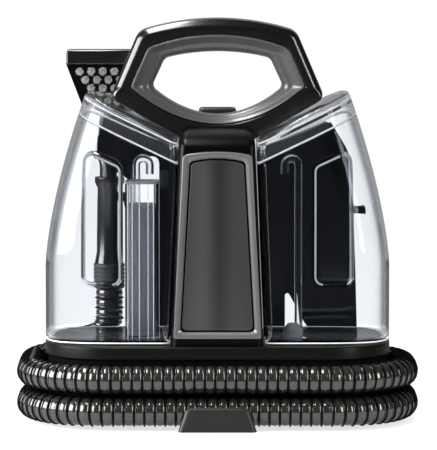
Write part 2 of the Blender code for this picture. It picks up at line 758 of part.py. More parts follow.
def tank_ring(side, level_at, drawn):
    """A level of a tank, drawn in from its outside. level_at gives the height at a distance from the middle."""
    inner = COLUMN_HALF_BOTTOM
    outer = TANK_OUTER_HALF
    for _ in range(8):
        inner = column_half(level_at(inner)) + TANK_SIDE_GAP
        outer = tank_outer(level_at(outer))
    near = inner + drawn
    far = outer - drawn
    deep = TANK_HALF_DEPTH - drawn
    chamfer = TANK_INNER_CHAMFER - drawn / 2
    middle = near + 0.3 * (far - near)
    steps = 12
    plan = [(near, -deep + chamfer), (near + chamfer, -deep)]
    for step in range(1, steps):
        angle = math.pi * (step / steps - 0.5)
        sine = math.sin(angle)
        power = 2 / TANK_FRONT_ROUNDING
        x = middle + (far - middle) * math.cos(angle) ** power
        y = math.copysign(deep * abs(sine) ** power, sine)
        plan.append((x, y))
    plan += [(near + chamfer, deep), (near, deep - chamfer)]
    return [(side * x, y, level_at(x)) for x, y in plan]


def lid_edge(x):
    """Height of the lid's upper edge at a distance from the middle."""
    return LID_LOW + LID_SLOPE * (abs(x) - COLUMN_HALF_TOP)


def lid_top(x):
    """Height of the lid's crown, which stays clear of the roof."""
    return min(lid_edge(x) + LID_CROWN, roof_level(x) - RUNNING_GAP)


def tank_rim(x):
    return lid_edge(x) - LID_HEIGHT


def tank_level(share):
    """A height between the tank's floor and its sloping rim."""
    return lambda x: TANK_FLOOR + share * (tank_rim(x) - TANK_FLOOR)


def pocket_outline(side, border):
    """Front view of the pocket in a tank's back, with its sloping top, grown by a border."""
    inner = POCKET_INNER - border
    outer = POCKET_INNER + POCKET_WIDTH + border
    low = POCKET_BOTTOM - border
    high = POCKET_BOTTOM + POCKET_HEIGHT + border
    rise = POCKET_SLOPE * (outer - inner)
    corner = POCKET_CORNER + border
    corners = [(inner, low, corner), (outer, low, corner), (outer, high + rise, corner), (inner, high, corner)]
    return [(side * x, z) for x, z in round_corners(corners, 3)]


def make_tank(name, side):
    """Clear tank with a pocket in its back, open at the top. Its inside is cut out round the pocket."""
    shares = (0.3, 0.5, 0.68, 0.84, 1.0)
    rings = [tank_ring(side, tank_level(0.0), TANK_WALL), tank_ring(side, tank_level(0.03), 0.0)]
    rings += [tank_ring(side, tank_level(share), 0.0) for share in shares]
    tank = add_object(name, ring_body(rings), CLEAR_PLASTIC)
    inside = [tank_ring(side, lambda x: TANK_FLOOR + TANK_WALL, 2 * TANK_WALL)]
    inside += [tank_ring(side, tank_level(share), TANK_WALL) for share in shares]
    inside.append(tank_ring(side, lambda x: tank_rim(x) + LID_HEIGHT, TANK_WALL))
    cavity = add_object("cavity", ring_body(inside), CLEAR_PLASTIC)
    floor = TANK_HALF_DEPTH - POCKET_DEPTH
    behind = TANK_HALF_DEPTH + WALL
    cut(cavity, front_slab(pocket_outline(side, TANK_WALL), floor - TANK_WALL, behind))
    cut(tank, front_slab(pocket_outline(side, 0.0), floor, behind))
    combine(tank, cavity, "DIFFERENCE")


def make_lid(name, side):
    """Cap that follows the tank's outline and its slope, open below."""
    rings = [
        tank_ring(side, lambda x: lid_edge(x) - LID_SKIN, TANK_WALL),
        tank_ring(side, lambda x: tank_rim(x) + GAP, TANK_WALL),
        tank_ring(side, lambda x: tank_rim(x) + GAP, 0.0),
        tank_ring(side, lid_edge, 0.0),
        tank_ring(side, lambda x: 0.3 * lid_edge(x) + 0.7 * lid_top(x), LID_CROWN),
        tank_ring(side, lid_top, 2 * LID_CROWN),
    ]
    add_object(name, ring_body(rings), CLEAR_PLASTIC)


def hook_route(side):
    """A tube that stands on the tank's floor and hooks over at the top, towards the middle of the machine."""
    foot = TANK_FLOOR + TANK_WALL + GAP
    bend = HOOK_REACH / 2
    route = [(HOOK_X, foot), (HOOK_X, (foot + HOOK_TOP) / 2), (HOOK_X, HOOK_TOP - bend)]
    steps = 6
    for step in range(1, steps):
        angle = math.pi * step / steps
        across = HOOK_X - bend + bend * math.cos(angle)
        route.append((across, HOOK_TOP - bend + bend * math.sin(angle)))
    end_x = HOOK_X - HOOK_REACH
    route += [(end_x, HOOK_TOP - bend), (end_x, HOOK_TOP - bend - HOOK_DROP)]
    return [Vector((side * x, HOOK_Y, z)) for x, z in route]


def make_hook_tube(name, side):
    route = hook_route(side)
    rings = tube_rings(route, [HOOK_TUBE_RADIUS] * len(route), 8)
    add_object(name, ring_body(rings), CLEAR_PLASTIC)


def standpipe_outline(half):
    """A square with rounded corners about the standpipe's middle, in plan."""
    return [(x - STANDPIPE_X, y + STANDPIPE_Y) for x, y in rounded_rectangle(half, half, half / 5, 2)]


def make_recovery_fittings():
    """Standpipe with its float and seal in the left tank."""
    foot = TANK_FLOOR + TANK_WALL + GAP
    outer = standpipe_outline(STANDPIPE_HALF)
    bore_half = STANDPIPE_HALF - STANDPIPE_WALL
    inner = standpipe_outline(bore_half)
    pipe = [
        [(x, y, foot) for x, y in outer],
        [(x, y, STANDPIPE_TOP) for x, y in outer],
        [(x, y, STANDPIPE_TOP) for x, y in inner],
        [(x, y, foot + STANDPIPE_WALL) for x, y in inner],
    ]
    add_object("standpipe", ring_body(pipe), CLEAR_PLASTIC)
    float_half = bore_half - FLOAT_GAP
    body = standpipe_outline(float_half)
    float_foot = foot + STANDPIPE_WALL + GAP
    origin = (-STANDPIPE_X, STANDPIPE_Y, float_foot)
    add_object("float", plan_slab(body, float_foot, FLOAT_TOP), FLOAT_GREY, origin)
    seal_low = STANDPIPE_TOP + GAP
    seal = [[(x, y, seal_low) for x, y in outer], [(x, y, seal_low + SEAL_THICKNESS) for x, y in outer]]
    seal += [[(x, y, seal_low + SEAL_THICKNESS) for x, y in inner], [(x, y, seal_low) for x, y in inner]]
    add_object("recovery_seal", ring_body(seal, closed=True), RUBBER)


def make_solution_valve():
    foot = TANK_FLOOR + TANK_WALL + GAP
    profile = [(VALVE_RADIUS, 0.0), (VALVE_RADIUS, VALVE_HEIGHT / 2), (VALVE_RADIUS / 2, VALVE_HEIGHT)]
    add_object("solution_valve", turned(profile, (STANDPIPE_X, STANDPIPE_Y, foot), sides=12), FLOAT_GREY)


# Works inside the column and the base

CRADLE_LEVEL = 0.124
CRADLE_THICKNESS = 0.006
MOTOR_RADIUS = 0.026
MOTOR_HEIGHT = 0.060
FAN_RADIUS = COLUMN_HALF_TOP - WALL - 0.0015
FAN_HEIGHT = 0.029
FAN_WALL = 0.002
FAN_EYE = 0.012
IMPELLER_RADIUS = 0.023
IMPELLER_HEIGHT = 0.014
IMPELLER_BLADES = 7
SHAFT_RADIUS = 0.003
SHAFT_LENGTH = 0.007
PUMP_HALF_WIDTH = 0.020
PUMP_FRONT = -0.052
PUMP_BACK = -0.010
PUMP_HEIGHT = 0.036
PIPE_RADIUS = 0.0035
PIPE_END_X = 0.085
SWITCH_HALF_WIDTH = 0.012
SWITCH_FRONT = 0.030
SWITCH_HEIGHT = 0.012
GLAND_BORE = 0.0032
GLAND_LENGTH = 0.012


def make_suction_works():
    """Motor on a cradle, with the impeller above it in its case."""
    cradle_top = CRADLE_LEVEL + CRADLE_THICKNESS
    half = column_half(cradle_top) - WALL - GAP
    outline = rounded_rectangle(half, COLUMN_HALF_DEPTH - WALL - GAP, WALL, 2)
    add_object("motor_cradle", plan_slab(outline, CRADLE_LEVEL, cradle_top), BLACK_PLASTIC)
    motor_low = cradle_top + GAP
    motor_top = motor_low + MOTOR_HEIGHT
    cap = 0.006
    profile = [(MOTOR_RADIUS - cap, motor_low), (MOTOR_RADIUS, motor_low + cap)]
    profile += [(MOTOR_RADIUS, motor_top - cap), (MOTOR_RADIUS - cap, motor_top)]
    add_object("vacuum_motor", turned(profile, (0.0, 0.0, 0.0), sides=20), STEEL)
    fan_low = motor_top + GAP
    fan_top = fan_low + FAN_HEIGHT
    shaft_hole = SHAFT_RADIUS + 0.003
    case = [(shaft_hole, fan_low), (FAN_RADIUS, fan_low), (FAN_RADIUS, fan_top), (FAN_EYE, fan_top)]
    case += [(FAN_EYE, fan_top - FAN_WALL), (FAN_RADIUS - FAN_WALL, fan_top - FAN_WALL)]
    case += [(FAN_RADIUS - FAN_WALL, fan_low + FAN_WALL), (shaft_hole, fan_low + FAN_WALL)]
    case.append((shaft_hole, fan_low))
    add_object("fan_case", turned(case, (0.0, 0.0, 0.0), sides=20), BLACK_PLASTIC)
    shaft_low = motor_top + GAP
    shaft_top = shaft_low + SHAFT_LENGTH
    shaft = [(SHAFT_RADIUS, shaft_low), (SHAFT_RADIUS, shaft_top)]
    add_object("impeller_shaft", turned(shaft, (0.0, 0.0, 0.0), sides=10), STEEL)
    make_impeller(shaft_top + GAP)


def make_impeller(low):
    """Disc with swept blades."""
    disc_thickness = 0.002
    disc = [(IMPELLER_RADIUS, low), (IMPELLER_RADIUS, low + disc_thickness)]
    impeller = add_object("impeller", turned(disc, (0.0, 0.0, 0.0), sides=20), STEEL, (0.0, 0.0, low))
    hub_radius = 2 * SHAFT_RADIUS
    half_blade = 0.0008
    for index in range(IMPELLER_BLADES):
        around = Matrix.Rotation(2 * math.pi * index / IMPELLER_BLADES, 4, "Z")
        sweep = Matrix.Rotation(math.radians(28), 4, "Z")
        lean = around @ Matrix.Translation((hub_radius, 0.0, 0.0)) @ sweep
        length = IMPELLER_RADIUS - hub_radius - 0.002
        blade_low = (0.0, -half_blade, low + disc_thickness / 2)
        blade = block(blade_low, (length, half_blade, low + IMPELLER_HEIGHT))
        bmesh.ops.transform(blade, matrix=lean, verts=blade.verts)
        fuse(impeller, blade)


def make_solution_works():
    floor = FOOT_HEIGHT + PLATE_THICKNESS + GAP
    low = (-PUMP_HALF_WIDTH, PUMP_FRONT, floor)
    high = (PUMP_HALF_WIDTH, PUMP_BACK, floor + PUMP_HEIGHT)
    add_object("solution_pump", block(low, high), BLACK_PLASTIC)
    level = floor + PUMP_HEIGHT / 2
    middle = (PUMP_FRONT + PUMP_BACK) / 2
    ceiling = BASE_TOP - WALL - GAP
    bend = 0.012
    route = [(PUMP_HALF_WIDTH + GAP, level), (PIPE_END_X - bend, level)]
    steps = 4
    for step in range(1, steps):
        angle = math.pi / 2 * step / steps
        across = PIPE_END_X - bend + bend * math.sin(angle)
        route.append((across, level + bend - bend * math.cos(angle)))
    route += [(PIPE_END_X, level + bend), (PIPE_END_X, ceiling)]
    points = [Vector((x, middle, z)) for x, z in route]
    add_object("pump_pipe", ring_body(tube_rings(points, [PIPE_RADIUS] * len(points), 8)), RUBBER)


def make_switch_block():
    top = BUTTON_BOTTOM - BUTTON_TRAVEL - RUNNING_GAP
    back = COLUMN_HALF_DEPTH - WALL - GAP
    low = (-SWITCH_HALF_WIDTH, SWITCH_FRONT, top - SWITCH_HEIGHT)
    add_object("switch_block", block(low, (SWITCH_HALF_WIDTH, back, top)), BLACK_PLASTIC)


def make_cord_gland():
    centre = (0.0, COLUMN_HALF_DEPTH + GAP, GLAND_LEVEL)
    profile = [(GLAND_BORE, 0.0), (GLAND_RADIUS, 0.0), (GLAND_RADIUS * 0.7, GLAND_LENGTH)]
    profile += [(GLAND_BORE, GLAND_LENGTH), (GLAND_BORE, 0.0)]
    add_object("cord_gland", turned(profile, centre, "Y", 12), RUBBER)


# Back: pillar, cord hook and wand clip

PILLAR_FRONT = BASE_HALF_DEPTH - 0.0085
PILLAR_DEPTH = 0.016
PILLAR_TOP = COLUMN_TOP + 0.0155
PILLAR_OUTER = BASE_HALF_WIDTH - 0.0225
PILLAR_SHOULDER = PILLAR_OUTER - 0.005
PILLAR_SHOULDER_LEVEL = PILLAR_TOP - 0.027
PILLAR_TOP_HALF = PILLAR_OUTER - 0.023
PILLAR_FOOT_INNER = PILLAR_OUTER - 0.0451
PILLAR_WEB_TOP = PILLAR_TOP - 0.030
PILLAR_NOTCH_INNER = PILLAR_OUTER - 0.0657
PILLAR_NOTCH_LEVEL = BASE_TOP + 0.039
HOOK_LEVEL = 0.174
HOOK_TAB_HEIGHT = 0.007
HOOK_TAB_END = PILLAR_OUTER + 0.0125
HOOK_TAB_START = PILLAR_OUTER - 0.026
HOOK_TAB_DEPTH = 0.0045
CLIP_WALL = 0.0034
CLIP_ARM_THICKNESS = 0.004
CLIP_ARM_END = -0.020
CLIP_PLATE_LEFT = WAND_X - 0.0112
CLIP_PLATE_RIGHT = WAND_X + 0.0235
CLIP_PLATE_DROP = 0.0435
CLIP_PLATE_SLOPE = 0.80
CLIP_STRIP_LEFT = -COLUMN_HALF_BOTTOM - 0.012
CLIP_STRIP_RIGHT = 0.003 - COLUMN_HALF_TOP
CLIP_MOUTH_HALF = 0.0075


def make_rear_pillar():
    """Dark pillar behind the right tank, with a web along the column and a notch at its foot."""
    foot = BASE_TOP + GAP
    corners = [
        (PILLAR_FOOT_INNER, foot, 0.0),
        (PILLAR_OUTER, foot, 0.0),
        (PILLAR_SHOULDER, PILLAR_SHOULDER_LEVEL, 0.015),
        (PILLAR_TOP_HALF, PILLAR_TOP, 0.006),
        (column_half(PILLAR_WEB_TOP) + TANK_SIDE_GAP, PILLAR_WEB_TOP, 0.006),
        (column_half(foot) + TANK_SIDE_GAP, foot, 0.0),
        (PILLAR_NOTCH_INNER, foot, 0.0),
        (PILLAR_NOTCH_INNER, PILLAR_NOTCH_LEVEL, 0.002),
    ]
    outline = round_corners(corners, 3)
    back = PILLAR_FRONT + PILLAR_DEPTH
    rings = [
        [(x, PILLAR_FRONT, z) for x, z in outline],
        [(x, back - WALL, z) for x, z in outline],
        [(x, back, z) for x, z in inset(outline, WALL)],
    ]
    add_object("rear_pillar", ring_body(rings), BLACK_PLASTIC)


def make_cord_hook():
    """Tab that the stored cord goes round: an arm off the pillar's back with a turned-up end."""
    inner = PILLAR_FRONT + PILLAR_DEPTH + GAP
    top = HOOK_LEVEL + HOOK_TAB_HEIGHT
    hook = add_object(
        "cord_hook",
        block((HOOK_TAB_START, inner, HOOK_LEVEL), (HOOK_TAB_END, inner + HOOK_TAB_DEPTH, top)),
        BLACK_PLASTIC,
    )
    end_start = HOOK_TAB_END - HOOK_TAB_DEPTH
    end_low = (end_start, inner + HOOK_TAB_DEPTH / 2, HOOK_LEVEL)
    fuse(hook, block(end_low, (HOOK_TAB_END, inner + 4 * HOOK_TAB_DEPTH, top)))


def make_wand_clip():
    """Strip, arm and plate on the back of the column, with a spring clip round the wand's neck, open behind."""
    bore = WAND_NECK_RADIUS + RUNNING_GAP
    outer = bore + CLIP_WALL
    ring = [(bore, 0.0), (outer, 0.0), (outer, CLIP_HEIGHT), (bore, CLIP_HEIGHT), (bore, 0.0)]
    clip = add_object("wand_clip", turned(ring, (WAND_X, WAND_Y, CLIP_LEVEL), sides=20), BLACK_PLASTIC)
    reach = WAND_Y + 2 * bore
    mouth_low = (WAND_X - CLIP_MOUTH_HALF, WAND_Y, CLIP_LEVEL - WALL)
    cut(clip, block(mouth_low, (WAND_X + CLIP_MOUTH_HALF, reach, CLIP_LEVEL + 2 * CLIP_HEIGHT)))
    inner = COLUMN_HALF_DEPTH + GAP
    top = CLIP_LEVEL + CLIP_HEIGHT
    tip = top - CLIP_PLATE_DROP
    rise = CLIP_PLATE_SLOPE * (CLIP_PLATE_RIGHT - CLIP_PLATE_LEFT)
    corners = [
        (CLIP_PLATE_LEFT, top, 0.0),
        (CLIP_PLATE_LEFT, tip + rise, 0.004),
        (CLIP_PLATE_RIGHT, tip, 0.004),
        (CLIP_PLATE_RIGHT, CLIP_LEVEL, 0.004),
        (CLIP_STRIP_LEFT, CLIP_LEVEL, 0.006),
        (CLIP_STRIP_LEFT, BASE_TOP + GAP, 0.0),
        (CLIP_STRIP_RIGHT, BASE_TOP + GAP, 0.0),
        (CLIP_STRIP_RIGHT, CLIP_LEVEL, 0.0),
        (CLIP_ARM_END, CLIP_LEVEL, 0.0),
        (CLIP_ARM_END, top, 0.0),
    ]
    fuse(clip, front_slab(round_corners(corners, 3), inner, inner + CLIP_ARM_THICKNESS))
    bridge_low = (WAND_X - CLIP_MOUTH_HALF, inner + CLIP_ARM_THICKNESS / 2, CLIP_LEVEL)
    bridge_high = (WAND_X + CLIP_MOUTH_HALF, WAND_Y - bore - CLIP_WALL / 3, top)
    fuse(clip, block(bridge_low, bridge_high))


# Wand

TRIGGER_LEVEL = WAND_GRIP_TOP - 0.018
TRIGGER_LENGTH = 0.040
TRIGGER_HALF_WIDTH = 0.005
TRIGGER_REACH = 0.0195
TRIGGER_THICKNESS = 0.003
PIVOT_X = 0.0160
PIN_RADIUS = 0.0014
PIN_CLEARANCE = 0.0004
EAR_THICKNESS = 0.002
GRIP_WAIST = 0.0112


def make_wand():
    axis = (WAND_X, WAND_Y, 0.0)
    flare = 0.010
    grip = [(WAND_GRIP_RADIUS - 0.001, WAND_GRIP_BOTTOM), (GRIP_WAIST, WAND_GRIP_BOTTOM + flare)]
    grip += [(GRIP_WAIST, WAND_GRIP_TOP - flare), (WAND_GRIP_RADIUS, WAND_GRIP_TOP - flare / 2)]
    grip += [(WAND_GRIP_RADIUS, WAND_GRIP_TOP)]
    body = add_object("wand_grip", turned(grip, axis, sides=20), BLACK_PLASTIC)
    ear_start = TRIGGER_HALF_WIDTH + GAP
    pivot_x = WAND_X + PIVOT_X
    for way in (-1, 1):
        edges = sorted((WAND_Y + way * ear_start, WAND_Y + way * (ear_start + EAR_THICKNESS)))
        low = (WAND_X + GRIP_WAIST / 2, edges[0], TRIGGER_LEVEL - 2.5 * PIN_RADIUS)
        high = (pivot_x + 2 * PIN_RADIUS, edges[1], TRIGGER_LEVEL + 2.5 * PIN_RADIUS)
        fuse(body, block(low, high))
    hole = [(PIN_RADIUS + PIN_CLEARANCE, -WAND_GRIP_RADIUS), (PIN_RADIUS + PIN_CLEARANCE, WAND_GRIP_RADIUS)]
    cut(body, turned(hole, (pivot_x, WAND_Y, TRIGGER_LEVEL), "Y", 10))
    pin_half = ear_start + EAR_THICKNESS
    pin = [(PIN_RADIUS, -pin_half), (PIN_RADIUS, pin_half)]
    add_object("trigger_pin", turned(pin, (pivot_x, WAND_Y, TRIGGER_LEVEL), "Y", 10), STEEL)
    neck_low = WAND_GRIP_TOP + GAP
    bore = WAND_NECK_RADIUS * 0.65
    neck = [(bore, neck_low), (WAND_NECK_RADIUS, neck_low), (WAND_NECK_RADIUS, WAND_NECK_TOP)]
    neck += [(bore, WAND_NECK_TOP), (bore, neck_low)]
    add_object("wand_neck", turned(neck, axis, sides=16), BLACK_PLASTIC)
    cuff_top = WAND_GRIP_BOTTOM - GAP
    cuff = [(HOSE_BORE / 2, CUFF_BOTTOM), (WAND_GRIP_RADIUS, CUFF_BOTTOM), (WAND_GRIP_RADIUS, cuff_top)]
    cuff += [(HOSE_BORE / 2, cuff_top), (HOSE_BORE / 2, CUFF_BOTTOM)]
    add_object("hose_cuff", turned(cuff, axis, sides=16), RUBBER)


def make_wand_trigger():
    """Lever on the wand's side, hung on its pin at the top, standing off the grip below."""
    pivot = (WAND_X + PIVOT_X, TRIGGER_LEVEL)
    foot = TRIGGER_LEVEL - TRIGGER_LENGTH
    outer = WAND_X + TRIGGER_REACH
    corners = [
        (pivot[0] - 2.2 * PIN_RADIUS, TRIGGER_LEVEL + 2.2 * PIN_RADIUS, 0.002),
        (pivot[0] + 2.2 * PIN_RADIUS, TRIGGER_LEVEL + 2.2 * PIN_RADIUS, 0.002),
        (outer, TRIGGER_LEVEL - TRIGGER_LENGTH / 2, 0.004),
        (outer + TRIGGER_THICKNESS, foot, 0.001),
        (outer, foot, 0.001),
        (outer - TRIGGER_THICKNESS, TRIGGER_LEVEL - TRIGGER_LENGTH / 2, 0.004),
        (pivot[0] - 2.2 * PIN_RADIUS, TRIGGER_LEVEL - 2.2 * PIN_RADIUS, 0.001),
    ]
    outline = round_corners(corners, 2)
    slab = front_slab(outline, WAND_Y - TRIGGER_HALF_WIDTH, WAND_Y + TRIGGER_HALF_WIDTH)
    trigger = add_object("wand_trigger", slab, BLACK_PLASTIC, (pivot[0], WAND_Y, pivot[1]))
    hole = [(PIN_RADIUS + PIN_CLEARANCE, -WAND_GRIP_RADIUS), (PIN_RADIUS + PIN_CLEARANCE, WAND_GRIP_RADIUS)]
    cutter = turned(hole, (pivot[0], WAND_Y, pivot[1]), "Y", 10)
    cut(trigger, cutter)


# Stain tool

TOOL_FRONT = WAND_Y - TOOL_DEPTH / 2
BACKING_THICKNESS = 0.002
TOOL_FLARE_LEVEL = TOOL_TOP - TOOL_HEADER
TUFT_TOP_LEVEL = TOOL_FLARE_LEVEL - 0.006
HEADER_THICKNESS = 0.0055
TIP_LEVEL = TOOL_BOTTOM + 0.0048
TIP_RADIUS = 0.0022


def tool_outline(border):
    """The flared tool in front view, drawn in by a border."""
    half_top = TOOL_HALF_TOP - border
    half_bottom = TOOL_HALF_BOTTOM - border
    corners = [
        (WAND_X - half_bottom, TOOL_BOTTOM + border, 0.004),
        (WAND_X + half_bottom, TOOL_BOTTOM + border, 0.004),
        (WAND_X + half_top, TOOL_FLARE_LEVEL, 0.003),
        (WAND_X + half_top, TOOL_TOP - border, 0.003),
        (WAND_X - half_top, TOOL_TOP - border, 0.003),
        (WAND_X - half_top, TOOL_FLARE_LEVEL, 0.003),
    ]
    return round_corners(corners, 2)


def make_tool_body():
    back = TOOL_FRONT + TOOL_DEPTH
    outline = tool_outline(0.0)
    rings = [
        [(x, TOOL_FRONT, z) for x, z in outline],
        [(x, back - 2 * WALL, z) for x, z in outline],
        [(x, back, z) for x, z in tool_outline(WALL)],
    ]
    body = add_object("tool_body", ring_body(rings), BLACK_PLASTIC, (WAND_X, WAND_Y, WAND_NECK_TOP))
    low = WAND_NECK_TOP + GAP
    collar = [(WAND_NECK_RADIUS, low), (WAND_NECK_RADIUS, TOOL_BOTTOM + 2 * WALL)]
    fuse(body, turned(collar, (WAND_X, WAND_Y, 0.0), sides=16))


def make_tool_cover():
    """Raised strip along the top of the tool's face: the lip that the dirty water is drawn through."""
    low = TOOL_FLARE_LEVEL
    half = TOOL_HALF_TOP - GAP
    corners = [
        (WAND_X - half, low, 0.0),
        (WAND_X + half, low, 0.0),
        (WAND_X + half, TOOL_TOP, 0.002),
        (WAND_X - half, TOOL_TOP, 0.002),
    ]
    outline = round_corners(corners, 2)
    back = TOOL_FRONT - GAP
    add_object("tool_cover", front_slab(outline, back - HEADER_THICKNESS, back), BLACK_PLASTIC)


def tuft_centres():
    for row, count in enumerate(TUFT_ROWS):
        z = TUFT_TOP_LEVEL - row * TUFT_ROW_PITCH
        for index in range(count):
            yield WAND_X + (index - (count - 1) / 2) * TUFT_PITCH, z


def add_strand(shape, root, tip):
    """A three-sided strand from its root to its tip."""
    rings = []
    for x, y, z in (root, tip):
        ring = []
        for side in range(3):
            angle = 2 * math.pi * side / 3
            dx = STRAND_RADIUS * math.cos(angle)
            dz = STRAND_RADIUS * math.sin(angle)
            ring.append(shape.verts.new((x + dx, y, z + dz)))
        rings.append(ring)
    for side in range(3):
        after = (side + 1) % 3
        shape.faces.new((rings[0][side], rings[0][after], rings[1][after], rings[1][side]))
    shape.faces.new(rings[0])
    shape.faces.new(rings[1])


def make_tool_brush():
    """Tufts of strands in staggered rows, fused to the plate that carries them."""
    back = TOOL_FRONT - GAP
    front = back - BACKING_THICKNESS
    border = 0.002
    half_top = TOOL_HALF_TOP - border
    half_bottom = TOOL_HALF_BOTTOM - border
    low = TOOL_BOTTOM + 4 * border
    corners = [
        (WAND_X - half_bottom, low, 0.002),
        (WAND_X + half_bottom, low, 0.002),
        (WAND_X + half_top - border, TOOL_FLARE_LEVEL - GAP, 0.0),
        (WAND_X - half_top + border, TOOL_FLARE_LEVEL - GAP, 0.0),
    ]
    brush = add_object("tool_brush", front_slab(round_corners(corners, 2), front, back), BRISTLE)
    strands = bmesh.new()
    golden_turn = math.pi * (3 - math.sqrt(5))
    spread = 1.25
    for x, z in tuft_centres():
        for index in range(STRANDS_PER_TUFT):
            radius = TUFT_RADIUS * math.sqrt((index + 0.5) / STRANDS_PER_TUFT)
            dx = radius * math.cos(index * golden_turn)
            dz = radius * math.sin(index * golden_turn)
            root = (x + dx, front + BACKING_THICKNESS / 2, z + dz)
            tip = (x + spread * dx, front - TUFT_LENGTH, z + spread * dz)
            add_strand(strands, root, tip)
    fuse(brush, strands)


def make_spray_tip():
    tip = [(TIP_RADIUS, -HEADER_THICKNESS), (TIP_RADIUS, -GAP)]
    add_object("spray_tip", turned(tip, (WAND_X, TOOL_FRONT, TIP_LEVEL), "Y", 10), STEEL)


def main():
    remove_startup_objects()
    make_base_tray()
    make_bottom_plate()
    make_feet()
    make_hose()
    make_hose_outlet()
    make_hose_lip()
    make_housing()
    make_handle_trim()
    make_power_button()
    make_front_trim()
    make_exhaust_grille()
    make_tank("recovery_tank", -1)
    make_lid("recovery_lid", -1)
    make_hook_tube("hook_tube", -1)
    make_recovery_fittings()
    make_tank("solution_tank", 1)
    make_lid("solution_lid", 1)
    make_hook_tube("solution_hook_tube", 1)
    make_solution_valve()
    make_suction_works()
    make_solution_works()
    make_switch_block()
    make_cord_gland()
    make_rear_pillar()
    make_cord_hook()
    make_wand_clip()
    make_wand()
    make_wand_trigger()
    make_tool_body()
    make_tool_cover()
    make_tool_brush()
    make_spray_tip()


main()
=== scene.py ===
"""Looks for a portable spot extractor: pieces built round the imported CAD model, with a studio stage.

Metres, +Z up, the front faces -Y. Laid out as an add-on and run as a script.
"""

import json
import math

import bmesh
import bpy
import numpy as np
from mathutils import Matrix, Vector

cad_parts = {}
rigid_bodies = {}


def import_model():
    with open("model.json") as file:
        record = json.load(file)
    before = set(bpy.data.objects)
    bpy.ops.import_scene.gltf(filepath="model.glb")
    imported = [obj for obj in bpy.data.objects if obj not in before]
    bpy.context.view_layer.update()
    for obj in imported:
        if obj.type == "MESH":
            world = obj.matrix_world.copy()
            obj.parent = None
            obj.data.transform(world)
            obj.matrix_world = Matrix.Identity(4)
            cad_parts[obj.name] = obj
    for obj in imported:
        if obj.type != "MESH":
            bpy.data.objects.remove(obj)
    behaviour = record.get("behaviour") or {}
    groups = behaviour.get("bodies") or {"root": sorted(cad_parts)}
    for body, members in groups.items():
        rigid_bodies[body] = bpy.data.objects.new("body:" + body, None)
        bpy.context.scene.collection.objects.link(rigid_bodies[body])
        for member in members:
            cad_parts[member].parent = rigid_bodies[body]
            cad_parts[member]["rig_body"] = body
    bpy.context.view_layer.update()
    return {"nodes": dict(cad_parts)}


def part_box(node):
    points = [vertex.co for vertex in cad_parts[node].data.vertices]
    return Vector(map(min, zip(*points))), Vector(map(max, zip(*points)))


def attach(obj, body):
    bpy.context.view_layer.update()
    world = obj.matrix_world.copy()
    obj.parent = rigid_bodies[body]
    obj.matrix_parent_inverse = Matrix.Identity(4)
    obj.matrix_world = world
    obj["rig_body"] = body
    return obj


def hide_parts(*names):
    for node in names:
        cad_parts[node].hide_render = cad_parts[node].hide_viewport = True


bl_info = {
    "name": "Portable Spot Extractor",
    "version": (1, 0, 0),
    "blender": (4, 5, 0),
    "location": "3D View > Sidebar > Extractor",
    "description": "Builds the pieces, finishes and stage of a portable spot extractor",
    "category": "Object",
}

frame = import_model()
NODES = frame["nodes"]

# Fits and walls, as in the CAD
GAP = 0.0003
WALL = 0.003
TANK_WALL = 0.0024

# Base and hose, as in the CAD
BASE_HALF_WIDTH = 0.1485
BASE_HALF_DEPTH = 0.072
BASE_CORNER = 0.058
BASE_TOP = 0.0705
HOSE_DIAMETER = 0.0268
HOSE_LOOP_PITCH = 0.0278
HOSE_FLOOR_CLEARANCE = 0.0025
HOSE_SIDE_CLEARANCE = 0.0012
OUTLET_FACE = 0.032
CLIMB_END = -0.013

# Column, roof and handle in front view, as in the CAD
COLUMN_HALF_TOP = 0.033
COLUMN_HALF_BOTTOM = 0.040
COLUMN_TOP = 0.2425
COLUMN_HALF_DEPTH = 0.066
ROOF_SLOPE = 0.583
ROOF_LOW = 0.2477
ROOF_HALF_WIDTH = 0.094
HANDLE_TOP = 0.3525
HANDLE_SHOULDER = 0.3415
HANDLE_SHOULDER_HALF = 0.0692
HANDLE_HALF_DEPTH = 0.020
HANDLE_CORNER = 0.016
HOLE_TOP = 0.3235
HOLE_SHOULDER = 0.3178
HOLE_SHOULDER_HALF = 0.046
HOLE_WIDE_LEVEL = 0.2927
HOLE_WIDE_HALF = 0.0576
HOLE_BOTTOM = 0.2685
HOLE_CORNER = 0.008
TRIM_BORDER = 0.0155

# Tanks, as in the CAD
TANK_OUTER_HALF = 0.151
TANK_HALF_DEPTH = 0.062
TANK_FRONT_ROUNDING = 3.4
TANK_TAPER_LEVEL = 0.136
TANK_SIDE_GAP = 0.0008
TANK_INNER_CHAMFER = 0.007
LID_HEIGHT = 0.019
LID_SKIN = 0.0026
LID_LOW = 0.2459
LID_SLOPE = 0.479
LID_CROWN = 0.005

# Front bezel and panel, as in the CAD
BEZEL_TOP = 0.240
BEZEL_BOTTOM = 0.0772
BEZEL_HALF_TOP = 0.030
BEZEL_HALF_BOTTOM = 0.0383
BEZEL_THICKNESS = 0.004
BEZEL_BORDER = 0.0062
BEZEL_CORNER = 0.010

# Wand and tool, as in the CAD
WAND_X = -0.0975
WAND_Y = 0.0903
WAND_GRIP_BOTTOM = 0.128
CUFF_HEIGHT = 0.022
TOOL_HALF_TOP = 0.038
TOOL_HALF_BOTTOM = 0.022
TOOL_TOP = 0.3205
TOOL_HEADER = 0.013
TOOL_BOTTOM = 0.266
TOOL_DEPTH = 0.020
TUFT_PITCH = 0.0103
TUFT_ROW_PITCH = 0.00745
TUFT_ROWS = (6, 5, 4, 3)
TUFT_LENGTH = 0.0075


